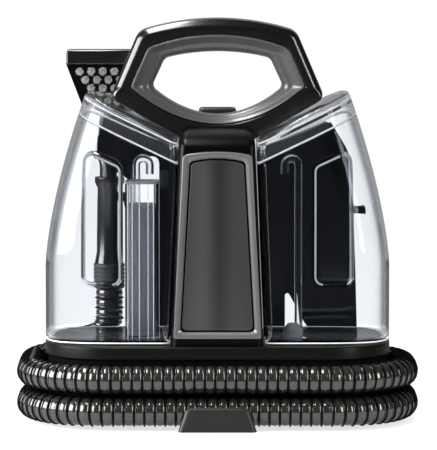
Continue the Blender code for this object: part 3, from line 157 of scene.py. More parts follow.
class ExtractorSizes(bpy.types.PropertyGroup):
    """Sizes that a user would change"""

    rib_pitch: bpy.props.FloatProperty(
        name="Rib pitch", description="Distance between hose ribs", default=0.0090, subtype="DISTANCE"
    )
    rib_height: bpy.props.FloatProperty(
        name="Rib height",
        description="Height of a rib over the band beside it",
        default=0.0012,
        subtype="DISTANCE",
    )
    edge_round: bpy.props.FloatProperty(
        name="Edge round",
        description="Radius on the edges of small mouldings",
        default=0.0006,
        subtype="DISTANCE",
    )
    strand_width: bpy.props.FloatProperty(
        name="Strand width", description="Diameter of a brush strand", default=0.00042, subtype="DISTANCE"
    )
    strands: bpy.props.IntProperty(
        name="Strands", description="Strands in each tuft of the brush", default=80
    )


class ExtractorColours(bpy.types.PropertyGroup):
    """Colours that a user would change"""

    shell: bpy.props.FloatVectorProperty(
        name="Shell", description="Black moulded plastic", subtype="COLOR", default=(0.0040, 0.0038, 0.0034)
    )
    trim: bpy.props.FloatVectorProperty(
        name="Trim", description="Painted grey trim", subtype="COLOR", default=(0.070, 0.070, 0.069)
    )
    panel: bpy.props.FloatVectorProperty(
        name="Panel", description="Dark front panel", subtype="COLOR", default=(0.046, 0.046, 0.047)
    )
    hose: bpy.props.FloatVectorProperty(
        name="Hose", description="Ribbed hose plastic", subtype="COLOR", default=(0.020, 0.019, 0.016)
    )
    clear: bpy.props.FloatVectorProperty(
        name="Clear", description="Clear tank plastic", subtype="COLOR", default=(0.935, 0.953, 0.982)
    )
    bristle: bpy.props.FloatVectorProperty(
        name="Bristle", description="Brush strands", subtype="COLOR", default=(0.80, 0.80, 0.78)
    )


def sizes():
    return bpy.context.scene.extractor_sizes


def colours():
    return bpy.context.scene.extractor_colours


# Node helpers


def node_math(tree, operation, *values):
    """The output of a Math node. A value is a number or the socket that gives it."""
    made = tree.nodes.new("ShaderNodeMath")
    made.operation = operation
    for index, value in enumerate(values):
        if isinstance(value, (int, float)):
            made.inputs[index].default_value = value
        else:
            tree.links.new(value, made.inputs[index])
    return made.outputs[0]


def node_mix(tree, factor, first, second, blend="MIX"):
    """The output of a colour Mix node. Each of the three is a value or the socket that gives it."""
    made = tree.nodes.new("ShaderNodeMix")
    made.data_type = "RGBA"
    made.blend_type = blend
    for name, value in (("Factor", factor), ("A", first), ("B", second)):
        if isinstance(value, (float, tuple)):
            made.inputs[name].default_value = value
        else:
            tree.links.new(value, made.inputs[name])
    return made.outputs["Result"]


# Shader groups and finishes

GRAIN_DEPTH = 0.0001
FINE_GRAIN = 5200.0
COARSE_GRAIN = 1500.0
# Glow of the painted edge highlights, which shine though they are no lamp
EDGE_GLOW = 0.35
# Painted sheen across the panel: levels at its two ends, and bands between as (place, level)
PANEL_SHEEN_END_LEVELS = (0.55, 0.70)
PANEL_SHEEN_BANDS = ((0.34, 1.0), (0.52, 0.42), (0.72, 0.80))
CLEAR_IOR = 1.38
CLEAR_SHEEN = (0.45, 0.50, 0.60)
# Painted shade of clear walls and lids where they are seen edge on, from where it starts to where it is full
WALL_EDGE_PAINTED_SHADE = (0.34, 0.37, 0.42)
LID_EDGE_PAINTED_SHADE = (0.90, 0.92, 0.96)
LID_CLEARNESS = 0.985
EDGE_SHADE_START = 0.58
EDGE_SHADE_FULL = 0.97
# Painted shade on the hose's ridges: their colour, and where the mask starts and is full
RIDGE_PAINTED_SHADE = (0.003, 0.003, 0.003)
RIDGE_FOOT = 0.12
RIDGE_CREST = 0.40
BAND_SHINE = 1.0
RIDGE_SHINE = 0.06


def moulded_group():
    """Shader group: slow drift in colour, uneven gloss and fine grain, as on a moulded surface."""
    found = bpy.data.node_groups.get("moulded_surface")
    if found:
        return found
    group = bpy.data.node_groups.new("moulded_surface", "ShaderNodeTree")
    face = group.interface
    face.new_socket("Colour", in_out="INPUT", socket_type="NodeSocketColor")
    for name, default in (
        ("Drift", 0.08),
        ("Drift Scale", 18.0),
        ("Roughness", 0.3),
        ("Unevenness", 0.06),
        ("Grain Scale", 2600.0),
    ):
        face.new_socket(name, in_out="INPUT", socket_type="NodeSocketFloat").default_value = default
    face.new_socket("Colour", in_out="OUTPUT", socket_type="NodeSocketColor")
    face.new_socket("Roughness", in_out="OUTPUT", socket_type="NodeSocketFloat")
    face.new_socket("Height", in_out="OUTPUT", socket_type="NodeSocketFloat")
    nodes = group.nodes
    link = group.links.new
    given = nodes.new("NodeGroupInput")
    out = nodes.new("NodeGroupOutput")
    place = nodes.new("ShaderNodeTexCoord")
    slow = nodes.new("ShaderNodeTexNoise")
    slow.inputs["Detail"].default_value = 4.0
    link(place.outputs["Object"], slow.inputs["Vector"])
    link(given.outputs["Drift Scale"], slow.inputs["Scale"])
    centred = node_math(group, "SUBTRACT", slow.outputs["Fac"], 0.5)
    drift = node_math(group, "MULTIPLY_ADD", centred, given.outputs["Drift"], 1.0)
    tone = nodes.new("ShaderNodeVectorMath")
    tone.operation = "SCALE"
    link(given.outputs["Colour"], tone.inputs[0])
    link(drift, tone.inputs["Scale"])
    link(tone.outputs[0], out.inputs["Colour"])
    uneven = node_math(group, "MULTIPLY", centred, given.outputs["Unevenness"])
    gloss = node_math(group, "ADD", uneven, given.outputs["Roughness"])
    link(gloss, out.inputs["Roughness"])
    fine = nodes.new("ShaderNodeTexNoise")
    fine.inputs["Detail"].default_value = 2.0
    link(place.outputs["Object"], fine.inputs["Vector"])
    link(given.outputs["Grain Scale"], fine.inputs["Scale"])
    link(fine.outputs["Fac"], out.inputs["Height"])
    return group


def start_finish(name):
    """A new node material and its Principled shader."""
    made = bpy.data.materials.new(name)
    made.use_nodes = True
    return made, made.node_tree, made.node_tree.nodes["Principled BSDF"]


def add_moulded(tree, values):
    """The shared group in a material, with its inputs set by name."""
    group = tree.nodes.new("ShaderNodeGroup")
    group.node_tree = moulded_group()
    for name, value in values.items():
        group.inputs[name].default_value = value
    return group


def add_bump(tree, shader, height, strength):
    bump = tree.nodes.new("ShaderNodeBump")
    bump.inputs["Strength"].default_value = strength
    bump.inputs["Distance"].default_value = GRAIN_DEPTH
    tree.links.new(height, bump.inputs["Height"])
    tree.links.new(bump.outputs["Normal"], shader.inputs["Normal"])


def moulded_finish(name, colour, roughness, drift=0.10, unevenness=0.08, grain=2600.0, bump=0.10, shine=0.5):
    """Moulded plastic or paint on the shared group, made once for each name."""
    found = bpy.data.materials.get(name)
    if found:
        return found
    made, tree, shader = start_finish(name)
    surface = {
        "Colour": (*colour, 1.0),
        "Drift": drift,
        "Roughness": roughness,
        "Unevenness": unevenness,
        "Grain Scale": grain,
    }
    group = add_moulded(tree, surface)
    shader.inputs["Specular IOR Level"].default_value = shine
    tree.links.new(group.outputs["Colour"], shader.inputs["Base Color"])
    tree.links.new(group.outputs["Roughness"], shader.inputs["Roughness"])
    add_bump(tree, shader, group.outputs["Height"], bump)
    return made


def shell_finish():
    """Smooth black plastic of the shell."""
    return moulded_finish("shell_plastic", colours().shell, 0.20, bump=0.03, shine=0.8)


def base_finish():
    """Satin black of the base and of what stands behind the tanks."""
    return moulded_finish("base_plastic", (0.0040, 0.0038, 0.0034), 0.34, drift=0.3, bump=0.08, shine=0.16)


def deep_finish():
    """Deep black of the column and of the stain tool."""
    return moulded_finish("deep_plastic", (0.0014, 0.0013, 0.0012), 0.30, drift=0.3, bump=0.06, shine=0.12)


def lip_finish():
    """Satin black of the lip that holds the hose, a little lighter than the base."""
    return moulded_finish("lip_plastic", (0.016, 0.016, 0.0148), 0.40, drift=0.3, bump=0.10, shine=0.35)


def works_finish():
    """Plain black plastic with a coarser grain, for mounts and inner mouldings."""
    return moulded_finish("works_plastic", (0.013, 0.013, 0.013), 0.38, bump=0.18)


def paint_finish(name, colour, roughness, shine=0.5):
    """Smooth paint with a fine grain."""
    return moulded_finish(name, colour, roughness, drift=0.06, grain=FINE_GRAIN, bump=0.03, shine=shine)


def trim_finish():
    return paint_finish("trim_paint", colours().trim, 0.26, shine=0.7)


def bezel_finish():
    return paint_finish("bezel_paint", (0.115, 0.115, 0.113), 0.22, shine=0.9)


def key_finish():
    return moulded_finish("key_plastic", (0.035, 0.035, 0.035), 0.30, bump=0.05)


def painted_highlight_finish():
    """Painted highlight for the bright lines at corners of clear plastic: a pale colour with a slight glow,
    for light that the walls carry to the corners.
    """
    highlight_colour = (0.92, 0.94, 0.97)
    made = moulded_finish("painted_edge_highlight", highlight_colour, 0.25, drift=0.15, bump=0.02)
    shader = made.node_tree.nodes["Principled BSDF"]
    shader.inputs["Emission Color"].default_value = (*highlight_colour, 1.0)
    shader.inputs["Emission Strength"].default_value = EDGE_GLOW
    return made


def panel_finish():
    """Dark paint with a painted sheen: its colour goes lighter and darker in bands across the panel, in
    place of reflections.
    """
    made = paint_finish("panel_paint", colours().panel, 0.30)
    tree = made.node_tree
    place = tree.nodes.new("ShaderNodeTexCoord")
    split = tree.nodes.new("ShaderNodeSeparateXYZ")
    tree.links.new(place.outputs["Object"], split.inputs[0])
    across = tree.nodes.new("ShaderNodeMapRange")
    across.inputs["From Min"].default_value = -BEZEL_HALF_BOTTOM
    across.inputs["From Max"].default_value = BEZEL_HALF_BOTTOM
    tree.links.new(split.outputs["X"], across.inputs["Value"])
    # Painted sheen: bands of lighter and darker colour across the panel
    painted_sheen = tree.nodes.new("ShaderNodeValToRGB")
    ramp = painted_sheen.color_ramp
    ramp.interpolation = "EASE"
    for end, level in zip(ramp.elements, PANEL_SHEEN_END_LEVELS):
        end.color = (level, level, level, 1.0)
    for where, level in PANEL_SHEEN_BANDS:
        ramp.elements.new(where).color = (level, level, level, 1.0)
    tree.links.new(across.outputs["Result"], painted_sheen.inputs["Fac"])
    shader = tree.nodes["Principled BSDF"]
    painted = shader.inputs["Base Color"].links[0].from_socket
    painted_light_tone = node_mix(tree, 1.0, painted, painted_sheen.outputs["Color"], "MULTIPLY")
    tree.links.new(painted_light_tone, shader.inputs["Base Color"])
    return made


def rubber_finish():
    return moulded_finish("soft_rubber", (0.018, 0.018, 0.018), 0.62, grain=COARSE_GRAIN, bump=0.25)


def seal_finish():
    """Milky silicone of the seal on the standpipe."""
    return moulded_finish("silicone", (0.50, 0.52, 0.55), 0.45, grain=COARSE_GRAIN, bump=0.1)


def float_finish():
    return moulded_finish("float_plastic", (0.52, 0.54, 0.57), 0.35, bump=0.08)


def bristle_finish():
    nylon = colours().bristle
    return moulded_finish("bristle_nylon", nylon, 0.42, drift=0.5, unevenness=0.1, grain=900.0, bump=0.05)


def steel_finish():
    made = moulded_finish("plain_steel", (0.56, 0.56, 0.57), 0.30, drift=0.12, grain=900.0, bump=0.06)
    made.node_tree.nodes["Principled BSDF"].inputs["Metallic"].default_value = 1.0
    return made


def clear_finish(name="clear_walls", edge_shade=WALL_EDGE_PAINTED_SHADE, clearness=1.0):
    """Clear moulded plastic with slightly uneven gloss, and a painted shade in its colour where it is seen
    edge on.
    """
    found = bpy.data.materials.get(name)
    if found:
        return found
    made, tree, shader = start_finish(name)
    shader.inputs["Transmission Weight"].default_value = clearness
    shader.inputs["IOR"].default_value = CLEAR_IOR
    shader.inputs["Specular Tint"].default_value = (*CLEAR_SHEEN, 1.0)
    surface = {
        "Colour": (*colours().clear, 1.0),
        "Drift": 0.02,
        "Drift Scale": 40.0,
        "Roughness": 0.004,
        "Unevenness": 0.008,
    }
    group = add_moulded(tree, surface)
    # Colour darkened towards glancing angles: painted shade along the edges of the clear plastic
    facing = tree.nodes.new("ShaderNodeLayerWeight")
    facing.inputs["Blend"].default_value = 0.5
    edge = tree.nodes.new("ShaderNodeMapRange")
    edge.interpolation_type = "SMOOTHSTEP"
    edge.inputs["From Min"].default_value = EDGE_SHADE_START
    edge.inputs["From Max"].default_value = EDGE_SHADE_FULL
    tree.links.new(facing.outputs["Facing"], edge.inputs["Value"])
    edge_shaded = node_mix(tree, edge.outputs["Result"], group.outputs["Colour"], (*edge_shade, 1.0))
    tree.links.new(edge_shaded, shader.inputs["Base Color"])
    tree.links.new(group.outputs["Roughness"], shader.inputs["Roughness"])
    return made


def lid_finish():
    """Slightly milky plastic of the lids, with a light painted shade where they are seen edge on."""
    return clear_finish("clear_lids", LID_EDGE_PAINTED_SHADE, LID_CLEARNESS)


def hose_finish():
    """Glossy dark bands between ridges with a painted shade: the ridges are near black and have little
    shine. The ridge attribute is 1 on the crest of a ridge.
    """
    found = bpy.data.materials.get("ribbed_plastic")
    if found:
        return found
    made, tree, shader = start_finish("ribbed_plastic")
    surface = {
        "Colour": (*colours().hose, 1.0),
        "Drift": 0.22,
        "Drift Scale": 60.0,
        "Roughness": 0.16,
        "Unevenness": 0.10,
    }
    group = add_moulded(tree, surface)
    ridge = tree.nodes.new("ShaderNodeAttribute")
    ridge.attribute_name = "ridge"
    crest = tree.nodes.new("ShaderNodeMapRange")
    crest.inputs["From Min"].default_value = RIDGE_FOOT
    crest.inputs["From Max"].default_value = RIDGE_CREST
    tree.links.new(ridge.outputs["Fac"], crest.inputs["Value"])
    # Painted shade: the ridges turn near black and lose their shine, for the dark lines between the bands
    painted_light_tone = node_mix(tree, crest.outputs["Result"], group.outputs["Colour"], (*RIDGE_PAINTED_SHADE, 1.0))
    tree.links.new(painted_light_tone, shader.inputs["Base Color"])
    shine = tree.nodes.new("ShaderNodeMapRange")
    shine.inputs["To Min"].default_value = BAND_SHINE
    shine.inputs["To Max"].default_value = RIDGE_SHINE
    tree.links.new(crest.outputs["Result"], shine.inputs["Value"])
    tree.links.new(shine.outputs["Result"], shader.inputs["Specular IOR Level"])
    tree.links.new(group.outputs["Roughness"], shader.inputs["Roughness"])
    add_bump(tree, shader, group.outputs["Height"], 0.08)
    return made


# Shape helpers

MERGE_DISTANCE = 1e-6
FLAT_ANGLE = 1.0
ARC_SHARE = 0.48


def link_piece(name, mesh, look, body, nodes=()):
    """An object for a finished mesh at the origin, riding on a body and standing for CAD nodes."""
    mesh.materials.clear()
    mesh.materials.append(look)
    piece = bpy.data.objects.new(name, mesh)
    bpy.context.scene.collection.objects.link(piece)
    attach(piece, body)
    if nodes:
        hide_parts(*nodes)
    return piece


def mesh_of(shape, name, sharp=35.0):
    """A smooth mesh from a bmesh, with edges above an angle kept sharp."""
    bmesh.ops.recalc_face_normals(shape, faces=shape.faces)
    mesh = bpy.data.meshes.new(name)
    shape.to_mesh(mesh)
    shape.free()
    mesh.shade_smooth()
    mesh.set_sharp_from_angle(angle=math.radians(sharp))
    return mesh


def evaluated_mesh(mesh, *modifiers):
    """The mesh with modifiers applied. Each modifier is (type, {setting: value})."""
    helper = bpy.data.objects.new("helper", mesh)
    bpy.context.scene.collection.objects.link(helper)
    for kind, settings in modifiers:
        modifier = helper.modifiers.new(kind, kind)
        for setting, value in settings.items():
            setattr(modifier, setting, value)
    graph = bpy.context.evaluated_depsgraph_get()
    result = bpy.data.meshes.new_from_object(helper.evaluated_get(graph))
    bpy.data.objects.remove(helper, do_unlink=True)
    return result


def rounded_edges(mesh, width, segments=2, angle=35.0):
    """The mesh with its sharp edges rounded."""
    bevel = {
        "width": width,
        "segments": segments,
        "limit_method": "ANGLE",
        "angle_limit": math.radians(angle),
        "harden_normals": True,
        "use_clamp_overlap": True,
    }
    return evaluated_mesh(mesh, ("BEVEL", bevel))


def cut_mesh(mesh, cutter_mesh):
    """The mesh less another one."""
    cutter = bpy.data.objects.new("cutter", cutter_mesh)
    bpy.context.scene.collection.objects.link(cutter)
    result = evaluated_mesh(mesh, ("BOOLEAN", {"operation": "DIFFERENCE", "object": cutter}))
    bpy.data.objects.remove(cutter, do_unlink=True)
    return result


def soften(node, name, look, width=None):
    """A CAD node again with merged faces and rounded edges, in its own finish."""
    shape = bmesh.new()
    shape.from_mesh(NODES[node].data)
    bmesh.ops.remove_doubles(shape, verts=shape.verts, dist=MERGE_DISTANCE)
    flat = math.radians(FLAT_ANGLE)
    bmesh.ops.dissolve_limit(shape, angle_limit=flat, verts=shape.verts, edges=shape.edges)
    mesh = rounded_edges(mesh_of(shape, name), sizes().edge_round if width is None else width)
    return link_piece(name, mesh, look, NODES[node]["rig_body"], (node,))


def round_corners(corners, steps=8):
    """A closed outline from (u, v, radius) corners, with an arc at each one that has a radius."""
    outline = []
    count = len(corners)
    for index, (u, v, radius) in enumerate(corners):
        here = Vector((u, v))
        before = Vector(corners[index - 1][:2]) - here
        after = Vector(corners[(index + 1) % count][:2]) - here
        if radius <= 0.0:
            outline.append((u, v))
            continue
        half_angle = before.angle(after) / 2
        reach = min(radius / math.tan(half_angle), ARC_SHARE * before.length, ARC_SHARE * after.length)
        fitted = reach * math.tan(half_angle)
        middle = (before.normalized() + after.normalized()).normalized()
        centre = here + middle * (fitted / math.sin(half_angle))
        start = here + before.normalized() * reach - centre
        end = here + after.normalized() * reach - centre
        sweep = end.angle_signed(start)
        for step in range(steps + 1):
            arm = start.copy()
            arm.rotate(Matrix.Rotation(sweep * step / steps, 2))
            outline.append((centre.x + arm.x, centre.y + arm.y))
    return outline


def rounded_rectangle(half_u, half_v, corner, steps=8):
    signs = ((1, -1), (1, 1), (-1, 1), (-1, -1))
    return round_corners([(a * half_u, b * half_v, corner) for a, b in signs], steps)


def ring_body(rings, closed=False):
    """A body through rings of equal counts: capped at both ends, or joined end to end."""
    shape = bmesh.new()
    loops = [[shape.verts.new(point) for point in ring] for ring in rings]
    pairs = list(zip(loops, loops[1:]))
    if closed:
        pairs.append((loops[-1], loops[0]))
    for low, high in pairs:
        for index in range(len(low)):
            after = (index + 1) % len(low)
            shape.faces.new((low[index], low[after], high[after], high[index]))
    if not closed:
        shape.faces.new(loops[0])
        shape.faces.new(loops[-1])
    return shape


def front_slab(outline, front, back):
    return ring_body([[(x, front, z) for x, z in outline], [(x, back, z) for x, z in outline]])


def plan_slab(outline, low, high):
    return ring_body([[(x, y, low) for x, y in outline], [(x, y, high) for x, y in outline]])


def block(low, high):
    corners = [(low[0], low[1]), (high[0], low[1]), (high[0], high[1]), (low[0], high[1])]
    return plan_slab(corners, low[2], high[2])


def turned(profile, centre, sides=48):
    """A profile of (radius, height) points turned about an upright axis."""
    rings = []
    for radius, height in profile:
        ring = []
        for side in range(sides):
            angle = 2 * math.pi * side / sides
            arm = Vector((radius * math.cos(angle), radius * math.sin(angle), height))
            ring.append(Vector(centre) + arm)
        rings.append(ring)
    return ring_body(rings, closed=profile[0] == profile[-1])


def inset(outline, distance):
    """A closed outline drawn in by a distance at every point."""
    count = len(outline)
    area = 0.0
    for index in range(count):
        (u0, v0), (u1, v1) = outline[index - 1], outline[index]
        area += u0 * v1 - u1 * v0
    turn = math.copysign(1.0, area)
    drawn = []
    for index, (u, v) in enumerate(outline):
        along = (Vector(outline[(index + 1) % count]) - Vector(outline[index - 1])).normalized()
        drawn.append((u - along.y * turn * distance, v + along.x * turn * distance))
    return drawn


def quarter(steps):
    """Shares (along, up) of a quarter round, from its flat side to its upright side."""
    angles = [math.pi / 2 * step / steps for step in range(steps + 1)]
    return [(math.sin(angle), 1 - math.cos(angle)) for angle in angles]


def smooth_tube(points, radius, sides):
    """Rings of one radius square to a line of points, carried along it without twist."""
    rings = []
    across = None
    for index, point in enumerate(points):
        before = points[max(index - 1, 0)]
        after = points[min(index + 1, len(points) - 1)]
        tangent = (after - before).normalized()
        across = tangent.orthogonal().normalized() if across is None else across
        across = (across - tangent * across.dot(tangent)).normalized()
        other = tangent.cross(across)
        angles = [2 * math.pi * side / sides for side in range(sides)]
        rings.append([point + radius * (across * math.cos(a) + other * math.sin(a)) for a in angles])
    return rings


# Hose

HOSE_RADIUS = HOSE_DIAMETER / 2
LOOP_OFFSET = HOSE_SIDE_CLEARANCE + HOSE_RADIUS
LOOP_HALF_WIDTH = BASE_HALF_WIDTH + LOOP_OFFSET
LOOP_HALF_DEPTH = BASE_HALF_DEPTH + LOOP_OFFSET
LOOP_CORNER = BASE_CORNER + LOOP_OFFSET
LOOP_RUN_X = LOOP_HALF_WIDTH - LOOP_CORNER
LOOP_RUN_Y = LOOP_HALF_DEPTH - LOOP_CORNER
LOOP_ARC = math.pi / 2 * LOOP_CORNER
LOOP_LENGTH = 4 * (LOOP_RUN_X + LOOP_RUN_Y + LOOP_ARC)
LOWER_LEVEL = HOSE_FLOOR_CLEARANCE + HOSE_RADIUS
UPPER_LEVEL = LOWER_LEVEL + HOSE_LOOP_PITCH
COIL_START = OUTLET_FACE + GAP
COIL_END = 2 * LOOP_LENGTH - LOOP_RUN_X - LOOP_ARC
CUFF_BOTTOM = WAND_GRIP_BOTTOM - CUFF_HEIGHT
ROUTE_STEP = 0.004
RISER_PULL = 0.62
RISER_PULL_BACK = 0.72
RISER_PULL_DOWN = 0.5
RISER_STEPS = 40
RIDGE_SHARE = 0.19
BAND_BULGE = 0.0017
HOSE_SIDES = 32
SAMPLES_PER_RIB = 14


def loop_point(travel):
    """A point of the hose loop in plan. Travel starts at the middle of the back and goes to the right."""
    rest = travel % LOOP_LENGTH
    runs = [LOOP_RUN_X, 2 * LOOP_RUN_Y, 2 * LOOP_RUN_X, 2 * LOOP_RUN_Y, LOOP_RUN_X]
    signs = ((1, 1), (1, -1), (-1, -1), (-1, 1))
    here = Vector((0.0, LOOP_HALF_DEPTH))
    for leg, run in enumerate(runs):
        heading = -leg * math.pi / 2
        along = Vector((math.cos(heading), math.sin(heading)))
        if rest <= run or leg == len(signs):
            return here + along * rest
        rest -= run
        centre = Vector((signs[leg][0] * LOOP_RUN_X, signs[leg][1] * LOOP_RUN_Y))
        if rest <= LOOP_ARC:
            angle = heading + math.pi / 2 - rest / LOOP_CORNER
            return centre + LOOP_CORNER * Vector((math.cos(angle), math.sin(angle)))
        rest -= LOOP_ARC
        here = centre + LOOP_CORNER * along


def loop_level(travel):
    """Height of the hose: the lower loop, then a climb along the back, then the upper loop."""
    climb_start = LOOP_LENGTH - LOOP_RUN_X
    climb_end = LOOP_LENGTH + CLIMB_END
    share = min(max((travel - climb_start) / (climb_end - climb_start), 0.0), 1.0)
    return LOWER_LEVEL + HOSE_LOOP_PITCH * share * share * (3 - 2 * share)


def hose_route():
    """The whole hose from its outlet, twice round the base and up into the wand's cuff."""
    count = round((COIL_END - COIL_START) / ROUTE_STEP)
    travels = np.linspace(COIL_START, COIL_END, count + 1)
    route = [Vector((*loop_point(travel), loop_level(travel))) for travel in travels]
    start = Vector((-LOOP_HALF_WIDTH, LOOP_RUN_Y + GAP, UPPER_LEVEL))
    bend_start = start + Vector((0.0, HOSE_DIAMETER, 0.0))
    end = Vector((WAND_X, WAND_Y, CUFF_BOTTOM - GAP))
    bend_end = end - Vector((0.0, 0.0, HOSE_DIAMETER))
    pull = RISER_PULL * (bend_end - bend_start).length
    first = bend_start + Vector((0.0, pull * RISER_PULL_BACK, 0.0))
    second = bend_end - Vector((0.0, 0.0, pull * RISER_PULL_DOWN))
    route += [start.lerp(bend_start, share) for share in (0.25, 0.5, 0.75)]
    for share in np.linspace(0.0, 1.0, RISER_STEPS):
        left = 1 - share
        route.append(
            bend_start * left**3
            + first * 3 * left**2 * share
            + second * 3 * left * share**2
            + bend_end * share**3
        )
    route += [bend_end.lerp(end, share) for share in (0.33, 0.66, 1.0)]
    return route


def node_input(modifier, group, name, value):
    """Sets a Geometry Nodes modifier's input by its socket's identifier."""
    for item in group.interface.items_tree:
        if item.item_type == "SOCKET" and item.in_out == "INPUT" and item.name == name:
            modifier[item.identifier] = value


def ribbed_hose_group():
    """Geometry Nodes: a tube along a curve, with a thin ridge in each pitch and bulging bands between."""
    group = bpy.data.node_groups.new("ribbed_hose", "GeometryNodeTree")
    face = group.interface
    face.new_socket("Geometry", in_out="INPUT", socket_type="NodeSocketGeometry")
    for name in ("Radius", "Pitch", "Ridge Height", "Ridge Share", "Bulge"):
        face.new_socket(name, in_out="INPUT", socket_type="NodeSocketFloat")
    face.new_socket("Sides", in_out="INPUT", socket_type="NodeSocketInt")
    face.new_socket("Samples", in_out="INPUT", socket_type="NodeSocketInt")
    face.new_socket("Finish", in_out="INPUT", socket_type="NodeSocketMaterial")
    face.new_socket("Geometry", in_out="OUTPUT", socket_type="NodeSocketGeometry")
    nodes = group.nodes
    link = group.links.new
    given = nodes.new("NodeGroupInput")
    out = nodes.new("NodeGroupOutput")
    resample = nodes.new("GeometryNodeResampleCurve")
    resample.mode = "COUNT"
    link(given.outputs["Geometry"], resample.inputs["Curve"])
    link(given.outputs["Samples"], resample.inputs["Count"])
    along = nodes.new("GeometryNodeSplineParameter")
    ribs = node_math(group, "DIVIDE", along.outputs["Length"], given.outputs["Pitch"])
    share = node_math(group, "FRACT", ribs)
    from_middle = node_math(group, "ABSOLUTE", node_math(group, "SUBTRACT", share, 0.5))
    to_ridge = node_math(group, "SUBTRACT", 0.5, from_middle)
    ridge = nodes.new("ShaderNodeMapRange")
    ridge.interpolation_type = "SMOOTHSTEP"
    link(to_ridge, ridge.inputs["Value"])
    ridge.inputs["From Min"].default_value = 0.0
    link(given.outputs["Ridge Share"], ridge.inputs["From Max"])
    ridge.inputs["To Min"].default_value = 1.0
    ridge.inputs["To Max"].default_value = 0.0
    square = node_math(group, "MULTIPLY", from_middle, from_middle)
    bulge = node_math(group, "MULTIPLY", node_math(group, "MULTIPLY", square, 4.0), given.outputs["Bulge"])
    sink = node_math(group, "ADD", given.outputs["Ridge Height"], bulge)
    low = node_math(group, "MULTIPLY", node_math(group, "SUBTRACT", 1.0, ridge.outputs[0]), sink)
    radius = node_math(group, "SUBTRACT", given.outputs["Radius"], low)
    # The ridge mask is kept for the painted shade in the hose's material
    store = nodes.new("GeometryNodeStoreNamedAttribute")
    store.data_type = "FLOAT"
    store.domain = "POINT"
    store.inputs["Name"].default_value = "ridge"
    link(resample.outputs["Curve"], store.inputs["Geometry"])
    link(ridge.outputs[0], store.inputs["Value"])
    set_radius = nodes.new("GeometryNodeSetCurveRadius")
    link(store.outputs["Geometry"], set_radius.inputs["Curve"])
    link(radius, set_radius.inputs["Radius"])
    circle = nodes.new("GeometryNodeCurvePrimitiveCircle")
    circle.inputs["Radius"].default_value = 1.0
    link(given.outputs["Sides"], circle.inputs["Resolution"])
    tube = nodes.new("GeometryNodeCurveToMesh")
    link(set_radius.outputs["Curve"], tube.inputs["Curve"])
    link(circle.outputs["Curve"], tube.inputs["Profile Curve"])
    tube.inputs["Fill Caps"].default_value = True
    carried = nodes.new("GeometryNodeInputRadius")
    link(carried.outputs[0], tube.inputs["Scale"])
    real = nodes.new("GeometryNodeRealizeInstances")
    link(tube.outputs["Mesh"], real.inputs["Geometry"])
    finish = nodes.new("GeometryNodeSetMaterial")
    link(real.outputs["Geometry"], finish.inputs["Geometry"])
    link(given.outputs["Finish"], finish.inputs["Material"])
    link(finish.outputs["Geometry"], out.inputs["Geometry"])
    return group


def route_curve(name, points):
    """A poly curve object through points."""
    data = bpy.data.curves.new(name, "CURVE")
    data.dimensions = "3D"
    spline = data.splines.new("POLY")
    spline.points.add(len(points) - 1)
    for target, point in zip(spline.points, points):
        target.co = (*point, 1.0)
    thing = bpy.data.objects.new(name, data)
    bpy.context.scene.collection.objects.link(thing)
    return thing


def grown_mesh(thing, group, inputs):
    """The plain mesh that a Geometry Nodes group makes from an object. The object is used up."""
    modifier = thing.modifiers.new(group.name, "NODES")
    modifier.node_group = group
    for name, value in inputs.items():
        node_input(modifier, group, name, value)
    graph = bpy.context.evaluated_depsgraph_get()
    mesh = bpy.data.meshes.new_from_object(thing.evaluated_get(graph))
    bpy.data.objects.remove(thing, do_unlink=True)
    return mesh


def make_hose(cuff):
    """The hose with a whole number of ribs, which ends in the wand's cuff."""
    route = hose_route()
    length = sum((after - before).length for before, after in zip(route, route[1:]))
    ribs = round(length / sizes().rib_pitch)
    pitch = length / ribs
    inputs = {
        "Radius": HOSE_RADIUS,
        "Pitch": pitch,
        "Ridge Height": sizes().rib_height,
        "Ridge Share": RIDGE_SHARE,
        "Bulge": BAND_BULGE,
        "Sides": HOSE_SIDES,
        "Samples": ribs * SAMPLES_PER_RIB + 1,
        "Finish": hose_finish(),
    }
    mesh = grown_mesh(route_curve("hose_line", route), ribbed_hose_group(), inputs)
    mesh.shade_smooth()
    nodes = ("hose_coil", "hose_riser")
    hose = link_piece("ribbed_hose", mesh, hose_finish(), "machine", nodes)


# Housing: handle, column and the trim in the grip hole

HOOD_RISE = 0.0152
HOOD_INSET = 0.008
NECK_MARGIN = 0.004
COLUMN_CORNER = 0.006
CAVITY_DROP = 0.0035
CAVITY_TOP = COLUMN_TOP - CAVITY_DROP
NECK_TOP = COLUMN_TOP + HOOD_RISE
COLUMN_BASE = BASE_TOP + GAP
STEM_INSET = 0.009
GRIP_EDGE = 0.0085
ROOF_EDGE = 0.0018
ROOF_EDGE_BLEND = 0.012
ROOF_TIP = 0.008
CORNER_SKIP = 4
GRIP_CENTRE = (0.0, 0.296)
GRIP_LIP = 0.0015
PARTING_LINE = 0.0004
HOLE_WIDE_CORNER = 0.8 * HOLE_CORNER
TRIM_WIDE_CORNER = 0.2 * HOLE_CORNER
TRIM_WIDE_SHARE = 1.2
TRIM_SHOULDER_SHARE = 0.95
TRIM_SHOULDER_RISE = 0.65
TRIM_FOOT_SHARE = 0.5
TRIM_DEPTH = 0.0005
TRIM_RIM = 0.0011
TRIM_DISH_START = 2.4 * TRIM_RIM
TRIM_DISH_DEPTH = 0.0062
TRIM_DISH_CURVE = 1.3
TRIM_ROLL = 0.42 * TRIM_BORDER
TRIM_THROAT = 0.003
BUTTON_CLEARANCE = 0.0003
BUTTON_POCKET = 0.006
BUTTON_CORNER = 0.004
BUTTON_EDGE = 0.0026
BUTTON_DISH = ((0.0034, 0.0002), (0.0038, 0.0007), (0.0039, 0.0009))
NO_SPREAD = 1e-12
SHARE_SLACK = 1e-5
LEAST_TURN = 0.002


